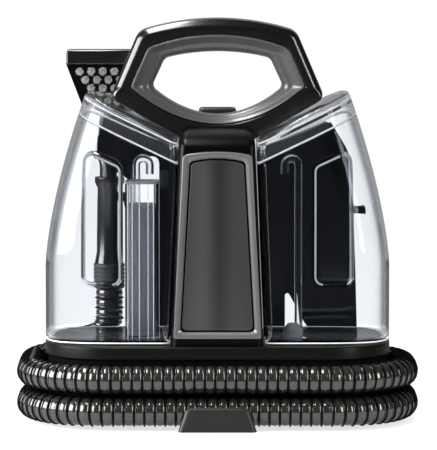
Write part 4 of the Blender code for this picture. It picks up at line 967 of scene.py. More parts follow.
def roof_level(x):
    """Height of the roof's underside over the tanks."""
    return ROOF_LOW + ROOF_SLOPE * (abs(x) - COLUMN_HALF_TOP)


def column_half(z):
    """Half width of the column at a height."""
    share = (z - COLUMN_BASE) / (COLUMN_TOP - COLUMN_BASE)
    return COLUMN_HALF_BOTTOM + (COLUMN_HALF_TOP - COLUMN_HALF_BOTTOM) * min(share, 1.0)


def arch(half, end_level, middle_level, steps):
    """Points of a shallow bow from its right end to its middle."""
    rise = middle_level - end_level
    xs = [half * (1 - step / steps) for step in range(steps + 1)]
    return [(x, middle_level - rise * (x / half) ** 2) for x in xs]


def with_left_half(right):
    left = [(-x, z, radius) for x, z, radius in reversed(right) if x > 0]
    return round_corners(right + left, 10)


def handle_outline():
    stem = COLUMN_HALF_TOP - STEM_INSET
    right = [(stem, CAVITY_TOP, 0.0), (stem, roof_level(stem), 0.0)]
    right.append((ROOF_HALF_WIDTH, roof_level(ROOF_HALF_WIDTH), ROOF_TIP))
    bow = arch(HANDLE_SHOULDER_HALF, HANDLE_SHOULDER, HANDLE_TOP, 20)
    right.append((*bow[0], HANDLE_CORNER))
    right += [(x, z, 0.0) for x, z in bow[CORNER_SKIP:]]
    return with_left_half(right)


def grip_outline(border):
    """The grip hole in front view, grown by a border."""
    wide_half = HOLE_WIDE_HALF + border * TRIM_WIDE_SHARE
    foot = HOLE_BOTTOM - border * TRIM_FOOT_SHARE
    low = arch(wide_half, HOLE_WIDE_LEVEL, foot, 24)
    shoulder_half = HOLE_SHOULDER_HALF + border * TRIM_SHOULDER_SHARE
    shoulder = HOLE_SHOULDER + border * TRIM_SHOULDER_RISE
    high = arch(shoulder_half, shoulder, HOLE_TOP + border, 20)
    wide_corner = HOLE_WIDE_CORNER + (TRIM_WIDE_CORNER - HOLE_WIDE_CORNER) * border / TRIM_BORDER
    right = [(x, z, 0.0) for x, z in reversed(low[CORNER_SKIP:])]
    right.append((*low[0], wide_corner))
    right.append((*high[0], HOLE_CORNER))
    right += [(x, z, 0.0) for x, z in high[CORNER_SKIP:]]
    return with_left_half(right)


def reach_at(outline, angle):
    """Distance from the grip's centre to an outline along an angle in front view."""
    along = Vector((math.cos(angle), math.sin(angle)))
    centre = Vector(GRIP_CENTRE)
    best = 0.0
    for index in range(len(outline)):
        start = Vector(outline[index - 1]) - centre
        edge = Vector(outline[index]) - centre - start
        spread = along.x * edge.y - along.y * edge.x
        if abs(spread) < NO_SPREAD:
            continue
        distance = (start.x * edge.y - start.y * edge.x) / spread
        share = (start.x * along.y - start.y * along.x) / spread
        if distance > 0 and -SHARE_SLACK <= share <= 1 + SHARE_SLACK:
            best = max(best, distance)
    return best


def paired_loops(outer, inner, even=240):
    """Both outlines sampled at the same angles round the grip's centre, as (angle, outer, inner) reaches."""
    angles = {round(2 * math.pi * step / even - math.pi, 6) for step in range(even)}
    for outline in (outer, inner):
        for x, z in outline:
            angles.add(round(math.atan2(z - GRIP_CENTRE[1], x - GRIP_CENTRE[0]), 6))
    kept = []
    for angle in sorted(angles):
        if not kept or angle - kept[-1] > LEAST_TURN:
            kept.append(angle)
    return [(angle, reach_at(outer, angle), reach_at(inner, angle)) for angle in kept]


def polar_ring(places):
    """A ring round the grip's centre, from (angle, reach, depth) places."""
    u, v = GRIP_CENTRE
    return [(u + reach * math.cos(angle), y, v + reach * math.sin(angle)) for angle, reach, y in places]


def handle_edge(angle, reach):
    """Edge radius at a place on the handle's outline: wide on the loop and narrow along the roof."""
    x = GRIP_CENTRE[0] + reach * math.cos(angle)
    z = GRIP_CENTRE[1] + reach * math.sin(angle)
    share = min(max((z - roof_level(x)) / ROOF_EDGE_BLEND, 0.0), 1.0)
    return ROOF_EDGE + (GRIP_EDGE - ROOF_EDGE) * share


def make_handle():
    """Loop handle and roof with rounded edges and a parting line half way through its depth."""
    loops = paired_loops(handle_outline(), grip_outline(TRIM_BORDER + GAP))
    edges = [handle_edge(angle, outer) for angle, outer, _ in loops]
    half = []
    half.append([(angle, hole, GRIP_LIP - HANDLE_HALF_DEPTH) for angle, _, hole in loops])
    half.append([(angle, hole + GRIP_LIP, -HANDLE_HALF_DEPTH) for angle, _, hole in loops])
    for along, up in quarter(10):
        places = []
        for (angle, outer, _), edge in zip(loops, edges):
            places.append((angle, outer - edge * (1 - along), edge * up - HANDLE_HALF_DEPTH))
        half.append(places)
    half.append([(angle, outer, -PARTING_LINE) for angle, outer, _ in loops])
    middle = [(angle, outer - PARTING_LINE, 0.0) for angle, outer, _ in loops]
    mirrored = [[(angle, reach, -y) for angle, reach, y in places] for places in reversed(half)]
    rings = [polar_ring(places) for places in [*half, middle, *mirrored]]
    mesh = mesh_of(ring_body(rings, closed=True), "handle_shell", sharp=40.0)
    link_piece("handle_shell", mesh, shell_finish(), "machine", ("housing_front",))


def make_column():
    """Column between the tanks with its domed hood, and the pocket that the power button sinks into."""
    neck_depth = HANDLE_HALF_DEPTH + NECK_MARGIN
    levels = [(COLUMN_BASE, COLUMN_HALF_BOTTOM, COLUMN_HALF_DEPTH)]
    steps = 10
    for step in range(steps + 1):
        angle = math.pi / 2 * step / steps
        drop = 1 - math.cos(angle)
        z = COLUMN_TOP + (NECK_TOP - COLUMN_TOP) * math.sin(angle)
        half = COLUMN_HALF_TOP - HOOD_INSET * drop
        levels.append((z, half, COLUMN_HALF_DEPTH - (COLUMN_HALF_DEPTH - neck_depth) * drop))
    rings = []
    for z, half, depth in levels:
        rings.append([(x, y, z) for x, y in rounded_rectangle(half, depth, COLUMN_CORNER)])
    mesh = mesh_of(ring_body(rings), "column_shell", sharp=40.0)
    low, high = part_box("power_button")
    margin = Vector((BUTTON_CLEARANCE, BUTTON_CLEARANCE, BUTTON_POCKET))
    mesh = cut_mesh(mesh, mesh_of(block(low - margin, high + margin), "cutter"))
    mesh.shade_smooth()
    mesh.set_sharp_from_angle(angle=math.radians(40.0))
    link_piece("column_shell", mesh, deep_finish(), "machine", ("housing_rear",))


def make_handle_trim():
    """Painted ring that lines the grip hole: a narrow rim, a dished slope and a roll into the hole."""
    mouth = HANDLE_HALF_DEPTH - TRIM_DEPTH
    section = [(TRIM_BORDER, mouth - TRIM_RIM)]
    section.append((TRIM_BORDER - TRIM_RIM * 0.3, mouth - TRIM_RIM * 0.3))
    section.append((TRIM_BORDER - TRIM_RIM, mouth))
    section.append((TRIM_BORDER - 2 * TRIM_RIM, mouth - TRIM_RIM * 0.25))
    dish = TRIM_BORDER - TRIM_DISH_START
    crest = mouth - TRIM_DISH_DEPTH
    for share in (0.0, 0.25, 0.5, 0.75):
        sink = crest + (mouth - TRIM_RIM - crest) * (1 - share) ** TRIM_DISH_CURVE
        section.append((dish - (dish - TRIM_ROLL) * share, sink))
    for along, up in quarter(10):
        section.append((TRIM_ROLL * (1 - along), TRIM_THROAT + (crest - TRIM_THROAT) * (1 - up)))
    front = [(border, -y) for border, y in section]
    back = [(border, y) for border, y in reversed(section)]
    rings = [[(x, y, z) for x, z in grip_outline(border)] for border, y in front + back]
    mesh = mesh_of(ring_body(rings, closed=True), "grip_trim", sharp=50.0)
    link_piece("grip_trim", mesh, trim_finish(), "machine", ("handle_trim",))


def make_power_button():
    """Long push button at the foot of the grip hole, with a dished top."""
    low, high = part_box("power_button")
    middle = (low + high) / 2
    outline = rounded_rectangle((high.x - low.x) / 2, (high.y - low.y) / 2, BUTTON_CORNER)

    def ring(drawn, z):
        return [(x + middle.x, y + middle.y, z) for x, y in inset(outline, drawn)]

    rings = [ring(0.0, low.z)]
    rings += [ring(BUTTON_EDGE * up, high.z - BUTTON_EDGE * (1 - along)) for along, up in quarter(5)]
    rings += [ring(drawn, high.z - drop) for drawn, drop in BUTTON_DISH]
    mesh = mesh_of(ring_body(rings), "power_key", sharp=45.0)
    link_piece("power_key", mesh, key_finish(), "button_body", ("power_button",))


# Front bezel and panel

BEZEL_BOW = 0.003
BEZEL_FOOT_CORNER = 0.002
BEZEL_EDGE = 0.0009
BEZEL_SLOPE = 0.0030
BEZEL_SLOPE_SHARE = 0.85
BEZEL_FACE_SINK = 0.0001
BEZEL_SLOPE_SINK = 0.0003
BEZEL_INNER_EDGE = 0.0003
BEZEL_INNER_SINK = 0.0020
BEZEL_INNER_FOOT = 0.0024
PANEL_CLEARANCE = 0.0011
PANEL_EDGE = 0.0008
PANEL_THICKNESS = 0.6 * BEZEL_THICKNESS


def bezel_outline(border):
    """The front bezel in front view, drawn in by a border."""
    low = BEZEL_BOTTOM + border
    high = BEZEL_TOP - border
    bow = arch(BEZEL_HALF_TOP - border, high - BEZEL_BOW, high, 16)
    right = [(BEZEL_HALF_BOTTOM - border, low, BEZEL_FOOT_CORNER + border * 0.3)]
    right.append((*bow[0], BEZEL_CORNER - border * 0.4))
    right += [(x, z, 0.0) for x, z in bow[CORNER_SKIP:]]
    return with_left_half(right)


def make_front_trim():
    """The bezel with its sloping inner side, and the plate that lies in it."""
    back = -COLUMN_HALF_DEPTH - GAP
    front = back - BEZEL_THICKNESS
    section = [(0.0, back)]
    section += [(BEZEL_EDGE * up, front + BEZEL_EDGE * (1 - along)) for along, up in quarter(4)]
    section.append((BEZEL_BORDER - BEZEL_SLOPE, front + BEZEL_FACE_SINK))
    section.append((BEZEL_BORDER - BEZEL_SLOPE * BEZEL_SLOPE_SHARE, front + BEZEL_SLOPE_SINK))
    section.append((BEZEL_BORDER - 2 * BEZEL_INNER_EDGE, front + BEZEL_INNER_SINK))
    section.append((BEZEL_BORDER - BEZEL_INNER_EDGE, front + BEZEL_INNER_FOOT))
    section.append((BEZEL_BORDER - BEZEL_INNER_EDGE, back))
    rings = [[(x, y, z) for x, z in bezel_outline(border)] for border, y in section]
    mesh = mesh_of(ring_body(rings, closed=True), "bezel_frame", sharp=50.0)
    link_piece("bezel_frame", mesh, bezel_finish(), "machine", ("front_bezel",))
    face = back - PANEL_THICKNESS
    section = [(PANEL_CLEARANCE, back)]
    for along, up in quarter(4):
        section.append((PANEL_CLEARANCE + PANEL_EDGE * up, face + PANEL_EDGE * (1 - along)))
    rings = [[(x, y, z) for x, z in bezel_outline(BEZEL_BORDER + drawn)] for drawn, y in section]
    mesh = mesh_of(ring_body(rings), "panel_plate", sharp=50.0)
    link_piece("panel_plate", mesh, panel_finish(), "machine", ("front_panel",))


# Tanks and what stands in them

TANK_FLOOR_GAP = 0.0006
TANK_FLOOR = BASE_TOP + TANK_FLOOR_GAP
TANK_FLOOR_ROUND = 0.005
TANK_TAPER_HEIGHT = 0.150
TANK_TAPER = 0.035
TANK_TAPER_CURVE = 1.5
TANK_FRONT_START = 0.3
TANK_FRONT_STEPS = 56
TANK_CHAMFER_STEPS = 5
TANK_LEVELS = np.linspace(0.03, 1.0, 22)[1:]
LID_ROOF_GAP = 0.0006
LID_RIM_EDGE = 0.0005
LID_SIDE_DROP = 0.0015
HOOK_X = 0.0715
HOOK_Y = 0.006
HOOK_LID_GAP = 0.0170
HOOK_TOP = LID_LOW - HOOK_LID_GAP
HOOK_REACH = 0.012
HOOK_DROP = 0.008
HOOK_TUBE_RADIUS = 0.0036
HOOK_TUBE_BORE = 0.0024
STANDPIPE_WALL = 0.0016
STANDPIPE_EDGE = 0.0004
# Places and sizes of the pale strips that paint highlights on the riser's front
PIPE_HIGHLIGHT_LINES = (-0.86, -0.60, -0.18, 0.34, 0.66)
PIPE_HIGHLIGHT_WIDTH = 0.0008
PIPE_HIGHLIGHT_FRONT = 0.0006
PIPE_HIGHLIGHT_BACK = 0.0001
POCKET_INNER = 0.0867
POCKET_WIDTH = 0.033
POCKET_RISE = 0.0425
POCKET_BOTTOM = BASE_TOP + POCKET_RISE
POCKET_HEIGHT = 0.1055
POCKET_SLOPE = 0.45
POCKET_DEPTH = 0.022
POCKET_CORNER = 0.007
POCKET_ROUND = 0.005
# Radii of the lines that carry painted highlights at corners of the clear plastic
EDGE_HIGHLIGHT_RADIUS = 0.0007
POCKET_HIGHLIGHT_RADIUS = 0.0009
TANKS = (
    ("waste", -1, "recovery_tank_body", "recovery_tank", "recovery_lid", "hook_tube"),
    ("clean", 1, "solution_tank_body", "solution_tank", "solution_lid", "solution_hook_tube"),
)


def tank_outer(z):
    """Distance of the tank's outer side from the middle, at a height."""
    over = max(z - TANK_TAPER_LEVEL, 0.0)
    return TANK_OUTER_HALF - TANK_TAPER * (over / TANK_TAPER_HEIGHT) ** TANK_TAPER_CURVE


def tank_ring(side, level_at, drawn):
    """A level of a tank, drawn in from its outside. level_at gives its height at a place across."""
    inner = COLUMN_HALF_BOTTOM
    outer = TANK_OUTER_HALF
    for _ in range(8):
        inner = column_half(level_at(inner)) + TANK_SIDE_GAP
        outer = tank_outer(level_at(outer))
    near = inner + drawn
    far = outer - drawn
    deep = TANK_HALF_DEPTH - drawn
    chamfer = TANK_INNER_CHAMFER - drawn / 2
    corner = []
    for step in range(TANK_CHAMFER_STEPS + 1):
        angle = math.pi / 2 * step / TANK_CHAMFER_STEPS
        corner.append((near + chamfer * (1 - math.cos(angle)), chamfer * (1 - math.sin(angle)) - deep))
    middle = near + TANK_FRONT_START * (far - near)
    power = 2 / TANK_FRONT_ROUNDING
    plan = list(corner)
    for step in range(1, TANK_FRONT_STEPS):
        angle = math.pi * (step / TANK_FRONT_STEPS - 0.5)
        sine = math.sin(angle)
        x = middle + (far - middle) * math.cos(angle) ** power
        plan.append((x, math.copysign(deep * abs(sine) ** power, sine)))
    plan += [(x, -y) for x, y in reversed(corner)]
    return [(side * x, y, level_at(x)) for x, y in plan]


def lid_edge(x):
    """Height of the lid's upper edge at a distance from the middle."""
    return LID_LOW + LID_SLOPE * (abs(x) - COLUMN_HALF_TOP)


def lid_top(x):
    """Height of the lid's crown, which stays clear of the roof."""
    return min(lid_edge(x) + LID_CROWN, roof_level(x) - LID_ROOF_GAP)


def tank_rim(x):
    return lid_edge(x) - LID_HEIGHT


def pocket_outline(side, border):
    """Front view of the pocket in a tank's back, with its sloping top, grown by a border."""
    inner = POCKET_INNER - border
    outer = POCKET_INNER + POCKET_WIDTH + border
    low = POCKET_BOTTOM - border
    high = POCKET_BOTTOM + POCKET_HEIGHT + border
    rise = POCKET_SLOPE * (outer - inner)
    corner = POCKET_CORNER + border
    places = ((inner, low), (outer, low), (outer, high + rise), (inner, high))
    return [(side * x, z) for x, z in round_corners([(x, z, corner) for x, z in places])]


def pocket_mesh(side, border):
    """The pocket as a body with a rounded floor, reaching out behind the tank."""
    floor = TANK_HALF_DEPTH - POCKET_DEPTH - border
    bend = POCKET_ROUND + border
    section = [(border - bend * (1 - along), floor + bend * up) for along, up in quarter(6)]
    section.append((border, TANK_HALF_DEPTH + WALL))
    rings = [[(x, y, z) for x, z in pocket_outline(side, grown)] for grown, y in section]
    return mesh_of(ring_body(rings), "pocket", sharp=50.0)


def tank_body(side, floor, bend, drawn):
    """Rings of a tank from its rounded floor edge up to its rim, drawn in from its outside."""
    rings = []
    for along, up in quarter(5):
        rings.append(tank_ring(side, lambda x, up=up: floor + bend * up, drawn + bend * (1 - along)))
    for share in TANK_LEVELS:

        def level(x, share=share):
            return TANK_FLOOR + share * (tank_rim(x) - TANK_FLOOR)

        rings.append(tank_ring(side, level, drawn))
    return rings


def make_tank(name, side, body, node):
    """Open tank with a rounded floor edge. Its inside is cut out round the pocket in its back."""
    rings = tank_body(side, TANK_FLOOR, TANK_FLOOR_ROUND, 0.0)
    mesh = cut_mesh(mesh_of(ring_body(rings), name, sharp=50.0), pocket_mesh(side, 0.0))
    inner_round = TANK_FLOOR_ROUND - TANK_WALL / 2
    rings = tank_body(side, TANK_FLOOR + TANK_WALL, inner_round, TANK_WALL)
    rings.append(tank_ring(side, lambda x: tank_rim(x) + LID_HEIGHT, TANK_WALL))
    inside = cut_mesh(mesh_of(ring_body(rings), "inside", sharp=50.0), pocket_mesh(side, TANK_WALL))
    mesh = cut_mesh(mesh, inside)
    mesh.set_sharp_from_angle(angle=math.radians(50.0))
    link_piece(name, mesh, clear_finish(), body, (node,))


def lid_side_top(x):
    """Height at which the lid's upright side goes over into its crown."""
    return lid_edge(x) - LID_SIDE_DROP


def make_lid(name, side, body, node):
    """Cap that follows the tank's outline and its slope, open below, with a crowned top."""
    rings = [
        tank_ring(side, lambda x: lid_edge(x) - LID_SKIN, 2 * TANK_WALL),
        tank_ring(side, lambda x: lid_edge(x) - 2 * LID_SKIN, TANK_WALL),
        tank_ring(side, lambda x: tank_rim(x) + GAP, TANK_WALL),
        tank_ring(side, lambda x: tank_rim(x) + GAP, LID_RIM_EDGE),
        tank_ring(side, lambda x: tank_rim(x) + 3 * GAP, 0.0),
        tank_ring(side, lid_side_top, 0.0),
    ]
    for along, up in quarter(8)[1:]:
        share = math.sin(along * math.pi / 2)

        def level(x, share=share):
            return lid_side_top(x) + (lid_top(x) - lid_side_top(x)) * share

        rings.append(tank_ring(side, level, 2 * LID_CROWN * up))
    mesh = mesh_of(ring_body(rings), name, sharp=40.0)
    link_piece(name, mesh, lid_finish(), body, (node,))


def highlight_line_mesh(name, loop, radius, sides=8):
    """Thin round line along a closed loop, which carries a painted highlight."""
    rings = []
    for index, place in enumerate(loop):
        along = Vector(loop[(index + 1) % len(loop)]) - Vector(loop[index - 1])
        out = Vector((along.y, -along.x, 0.0)).normalized() * radius
        ring = []
        for step in range(sides):
            angle = 2 * math.pi * step / sides
            ring.append(Vector(place) + out * math.cos(angle) + Vector((0.0, 0.0, radius * math.sin(angle))))
        rings.append(ring)
    return mesh_of(ring_body(rings, closed=True), name, sharp=60.0)


def make_floor_highlight(name, side, body):
    """Painted highlight: a pale glowing line round the tank's floor."""
    loop = tank_ring(side, lambda x: TANK_FLOOR + 2 * EDGE_HIGHLIGHT_RADIUS, 2 * EDGE_HIGHLIGHT_RADIUS)
    link_piece(name, highlight_line_mesh(name, loop, EDGE_HIGHLIGHT_RADIUS), painted_highlight_finish(), body)


def make_lid_highlights(name, side, body):
    """Painted highlights: pale glowing lines along the lid's rim and along the edge of its crown."""
    shape = bmesh.new()
    for level in (lambda x: tank_rim(x) + 2 * EDGE_HIGHLIGHT_RADIUS, lambda x: lid_edge(x) - 2 * EDGE_HIGHLIGHT_RADIUS):
        shape.from_mesh(highlight_line_mesh(name, tank_ring(side, level, 2 * EDGE_HIGHLIGHT_RADIUS), EDGE_HIGHLIGHT_RADIUS))
    link_piece(name, mesh_of(shape, name, sharp=60.0), painted_highlight_finish(), body)


def make_pocket_highlight(name, side, body):
    """Painted highlight: a pale glowing line in the rounded corner of a tank's pocket, along its sloping top
    and down its inner side.
    """
    border = TANK_WALL / 2
    bend = POCKET_ROUND + border
    along, up = quarter(2)[1]
    outline = pocket_outline(side, border - bend * (1 - along))
    y = TANK_HALF_DEPTH - POCKET_DEPTH - border + bend * up
    corner = len(outline) // 4
    route = [Vector((x, y, z)) for x, z in [*outline[3 * corner - 1 :], *outline[:corner]]]
    mesh = mesh_of(ring_body(smooth_tube(route, POCKET_HIGHLIGHT_RADIUS, 10)), name, sharp=60.0)
    link_piece(name, mesh, painted_highlight_finish(), body)


def make_hook_tube(name, side, body, node):
    """Hollow tube that stands on the tank's floor and hooks over at the top."""
    foot = TANK_FLOOR + TANK_WALL + GAP
    bend = HOOK_REACH / 2
    points = [(HOOK_X, foot + (HOOK_TOP - bend - foot) * share) for share in np.linspace(0.0, 1.0, 8)]
    for step in range(1, 16):
        angle = math.pi * step / 16
        points.append((HOOK_X - bend + bend * math.cos(angle), HOOK_TOP - bend + bend * math.sin(angle)))
    points += [(HOOK_X - HOOK_REACH, HOOK_TOP - bend - HOOK_DROP * share) for share in (0.0, 0.5, 1.0)]
    route = [Vector((side * x, HOOK_Y, z)) for x, z in points]
    rings = smooth_tube(route, HOOK_TUBE_RADIUS, 24)
    rings += reversed(smooth_tube(route, HOOK_TUBE_BORE, 24))
    mesh = mesh_of(ring_body(rings, closed=True), name, sharp=50.0)
    link_piece(name, mesh, clear_finish(), body, (node,))


def make_standpipe():
    """Square riser with rounded corners round the float, and pale glowing strips on its front as painted
    highlights.
    """
    low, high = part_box("standpipe")
    middle = (low + high) / 2
    half = (high.x - low.x) / 2

    def ring(drawn, z):
        outline = rounded_rectangle(half - drawn, half - drawn, (half - drawn) / 5, 6)
        return [(x + middle.x, y + middle.y, z) for x, y in outline]

    rings = [ring(STANDPIPE_EDGE, low.z), ring(0.0, low.z + STANDPIPE_EDGE)]
    rings += [ring(0.0, high.z - STANDPIPE_EDGE), ring(STANDPIPE_EDGE, high.z)]
    rings += [ring(STANDPIPE_WALL, high.z), ring(STANDPIPE_WALL, low.z + STANDPIPE_WALL)]
    mesh = mesh_of(ring_body(rings), "riser_pipe", sharp=45.0)
    link_piece("riser_pipe", mesh, clear_finish(), "recovery_tank_body", ("standpipe",))
    # Pale glowing strips: painted highlights on the front of the clear riser
    ribs = bmesh.new()
    for share in PIPE_HIGHLIGHT_LINES:
        x = middle.x + share * half
        near = (x, low.y - PIPE_HIGHLIGHT_FRONT, low.z)
        far = (x + PIPE_HIGHLIGHT_WIDTH, low.y - PIPE_HIGHLIGHT_BACK, high.z)
        ribs.from_mesh(mesh_of(block(near, far), "rib"))
    mesh = mesh_of(ribs, "pipe_highlight_strips")
    link_piece("pipe_highlight_strips", mesh, painted_highlight_finish(), "recovery_tank_body")


# Base and small mouldings

FLANGE_HEIGHT = 0.0105
FLANGE_OVERHANG = 0.0027
FLANGE_EDGE = 0.0018
LIP_HEIGHT = 0.021
LIP_HALF_BOTTOM = 0.034
LIP_HALF_TOP = 0.027
LIP_CORNER = 0.006
LIP_ROUND = 0.0045
LIP_LEAN = 0.10
LIP_HOSE_GAP = 0.0008
LIP_FRONT = LOOP_HALF_DEPTH + HOSE_RADIUS + LIP_HOSE_GAP + LIP_ROUND
CLIP_TOP_ZONE = 0.003
CLIP_PLATE_DEPTH = 0.0045
CLIP_CLIMB = 0.24
FITTING_EDGE = 0.0003
THIN_EDGE = 0.0004
LEVER_EDGE = 0.0005
BOLD_EDGE = 0.0008
WIDE_EDGE = 0.0010
COVER_EDGE = 0.0040


def base_outline(offset):
    return rounded_rectangle(BASE_HALF_WIDTH + offset, BASE_HALF_DEPTH + offset, BASE_CORNER + offset, 20)


def make_base():
    """Base skirt that the hose is wound round, with a flange under the tanks."""
    flange_low = BASE_TOP - FLANGE_HEIGHT
    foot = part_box("base_tray")[0].z
    section = [(foot, -WALL), (foot, -FLANGE_EDGE / 2), (foot + FLANGE_EDGE / 2, 0.0)]
    section.append((flange_low - FLANGE_OVERHANG, 0.0))
    section.append((flange_low - FLANGE_OVERHANG * 0.3, FLANGE_OVERHANG * 0.35))
    section.append((flange_low, FLANGE_OVERHANG))
    for along, up in quarter(5):
        section.append((BASE_TOP - FLANGE_EDGE * (1 - along), FLANGE_OVERHANG - FLANGE_EDGE * up))
    rings = [[(x, y, z) for x, y in base_outline(offset)] for z, offset in section]
    mesh = mesh_of(ring_body(rings), "base_skirt", sharp=40.0)
    link_piece("base_skirt", mesh, base_finish(), "machine", ("base_tray",))


def make_clip():
    """Wand clip on its plate. The plate's top edge climbs away from the column, along the lid."""
    clip = soften("wand_clip", "spring_clip", base_finish(), THIN_EDGE)
    low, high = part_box("wand_clip")
    for vertex in clip.data.vertices:
        place = vertex.co
        if place.z > high.z - CLIP_TOP_ZONE and place.y < low.y + CLIP_PLATE_DEPTH:
            place.z += CLIP_CLIMB * max(-place.x - COLUMN_HALF_TOP, 0.0)


def make_front_lip():
    """Lip in front of the lower loop, with a rounded rim that leans back, on a tongue under the hose."""
    rings = []
    for along, up in quarter(6):
        drawn = LIP_ROUND * (1 - along)
        foot = LIP_HALF_BOTTOM - drawn
        head = LIP_HALF_TOP - drawn
        top = LIP_HEIGHT - drawn
        corner = LIP_CORNER - drawn
        corners = [(-foot, GAP, 0.0), (foot, GAP, 0.0), (head, top, corner), (-head, top, corner)]
        outline = round_corners(corners)
        front = LIP_ROUND * up - LIP_FRONT
        rings.append([(x, front + LIP_LEAN * (1 - up) * (z - GAP), z) for x, z in outline])
    mesh = mesh_of(ring_body(rings), "front_lip", sharp=50.0)
    link_piece("front_lip", mesh, lip_finish(), "machine", ("hose_lip",))
    low = (-LIP_HALF_TOP, LIP_ROUND / 2 - LIP_FRONT, GAP)
    high = (LIP_HALF_TOP, 4 * WALL - BASE_HALF_DEPTH, HOSE_FLOOR_CLEARANCE - 2 * GAP)
    tongue = mesh_of(block(low, high), "lip_tongue")
    link_piece("lip_tongue", tongue, lip_finish(), "machine")


def make_small_mouldings():
    """Mounts, feet and fittings: CAD shapes with rounded edges, with the lip and the clip."""
    soften("bottom_plate", "under_plate", works_finish())
    for node in ("foot_front_left", "foot_front_right", "foot_rear_left", "foot_rear_right"):
        soften(node, node + "_pad", rubber_finish())
    soften("hose_outlet", "hose_port", works_finish())
    make_front_lip()
    soften("exhaust_grille", "vent_grille", works_finish(), THIN_EDGE)
    soften("cord_gland", "cable_gland", rubber_finish(), THIN_EDGE)
    soften("rear_pillar", "back_pillar", base_finish(), WIDE_EDGE)
    soften("cord_hook", "cable_hook", base_finish(), BOLD_EDGE)
    make_clip()
    soften("recovery_seal", "pipe_seal", seal_finish(), FITTING_EDGE)
    soften("solution_valve", "fill_valve", float_finish(), LEVER_EDGE)
    soften("float", "float_block", float_finish(), BOLD_EDGE)


def make_inner_works():
    """Finishes for the pieces inside the housing, which keep their CAD shape."""
    looks = {
        works_finish(): ("motor_cradle", "fan_case", "solution_pump", "switch_block"),
        steel_finish(): ("vacuum_motor", "impeller_shaft", "impeller", "trigger_pin"),
        rubber_finish(): ("pump_pipe",),
    }
    for look, nodes in looks.items():
        for node in nodes:
            NODES[node].data.materials.clear()
            NODES[node].data.materials.append(look)


# Wand and stain tool

TOOL_FRONT = WAND_Y - TOOL_DEPTH / 2
TOOL_FLARE_LEVEL = TOOL_TOP - TOOL_HEADER
TUFT_DROP = 0.006
TUFT_TOP_LEVEL = TOOL_FLARE_LEVEL - TUFT_DROP
TUFT_RADIUS = 0.0028
TUFT_SPREAD = 1.3
STRAND_SIDES = 5
STRAND_TAPER = 0.75
STRAND_STRAY = 0.07
STRAND_LEAST_LENGTH = 0.90
STRAY_SEED = 11
LENGTH_SEED = 5
BACKING_THICKNESS = 0.002
BACKING_BORDER = 0.002
BACKING_CORNER = 0.002
BACKING_EDGE = 0.0005
CUFF_BORE_SHARE = 0.68
CUFF_EDGE = 0.0006
CUFF_BAND = 0.002
CUFF_GROOVE = 0.0007
CUFF_GROOVES = 5


def make_wand():
    """Grip, neck and trigger of the wand."""
    soften("wand_grip", "hand_grip", shell_finish())
    soften("wand_neck", "wand_tube", shell_finish())
    soften("wand_trigger", "spray_lever", shell_finish(), LEVER_EDGE)


def make_cuff():
    """Ribbed rubber sleeve that the hose ends in."""
    low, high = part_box("hose_cuff")
    centre = ((low.x + high.x) / 2, (low.y + high.y) / 2, 0.0)
    radius = (high.x - low.x) / 2
    bore = radius * CUFF_BORE_SHARE
    profile = [(bore, low.z), (radius - CUFF_EDGE, low.z), (radius, low.z + CUFF_EDGE)]
    pitch = (high.z - low.z - 2 * CUFF_BAND) / CUFF_GROOVES
    for index in range(CUFF_GROOVES):
        base = low.z + CUFF_BAND + index * pitch
        for share, depth in ((0.30, 0.0), (0.42, CUFF_GROOVE), (0.58, CUFF_GROOVE), (0.70, 0.0)):
            profile.append((radius - depth, base + pitch * share))
    profile += [(radius, high.z - CUFF_EDGE), (radius - CUFF_EDGE, high.z), (bore, high.z), (bore, low.z)]
    mesh = mesh_of(turned(profile, centre), "cuff_sleeve", sharp=45.0)
    return link_piece("cuff_sleeve", mesh, rubber_finish(), "machine", ("hose_cuff",))


def make_tool():
    """Head of the stain tool, its cover and its nozzle."""
    soften("tool_body", "tool_head", deep_finish(), WIDE_EDGE)
    soften("tool_cover", "tool_lip", shell_finish(), COVER_EDGE)
    soften("spray_tip", "spray_nozzle", steel_finish(), FITTING_EDGE)


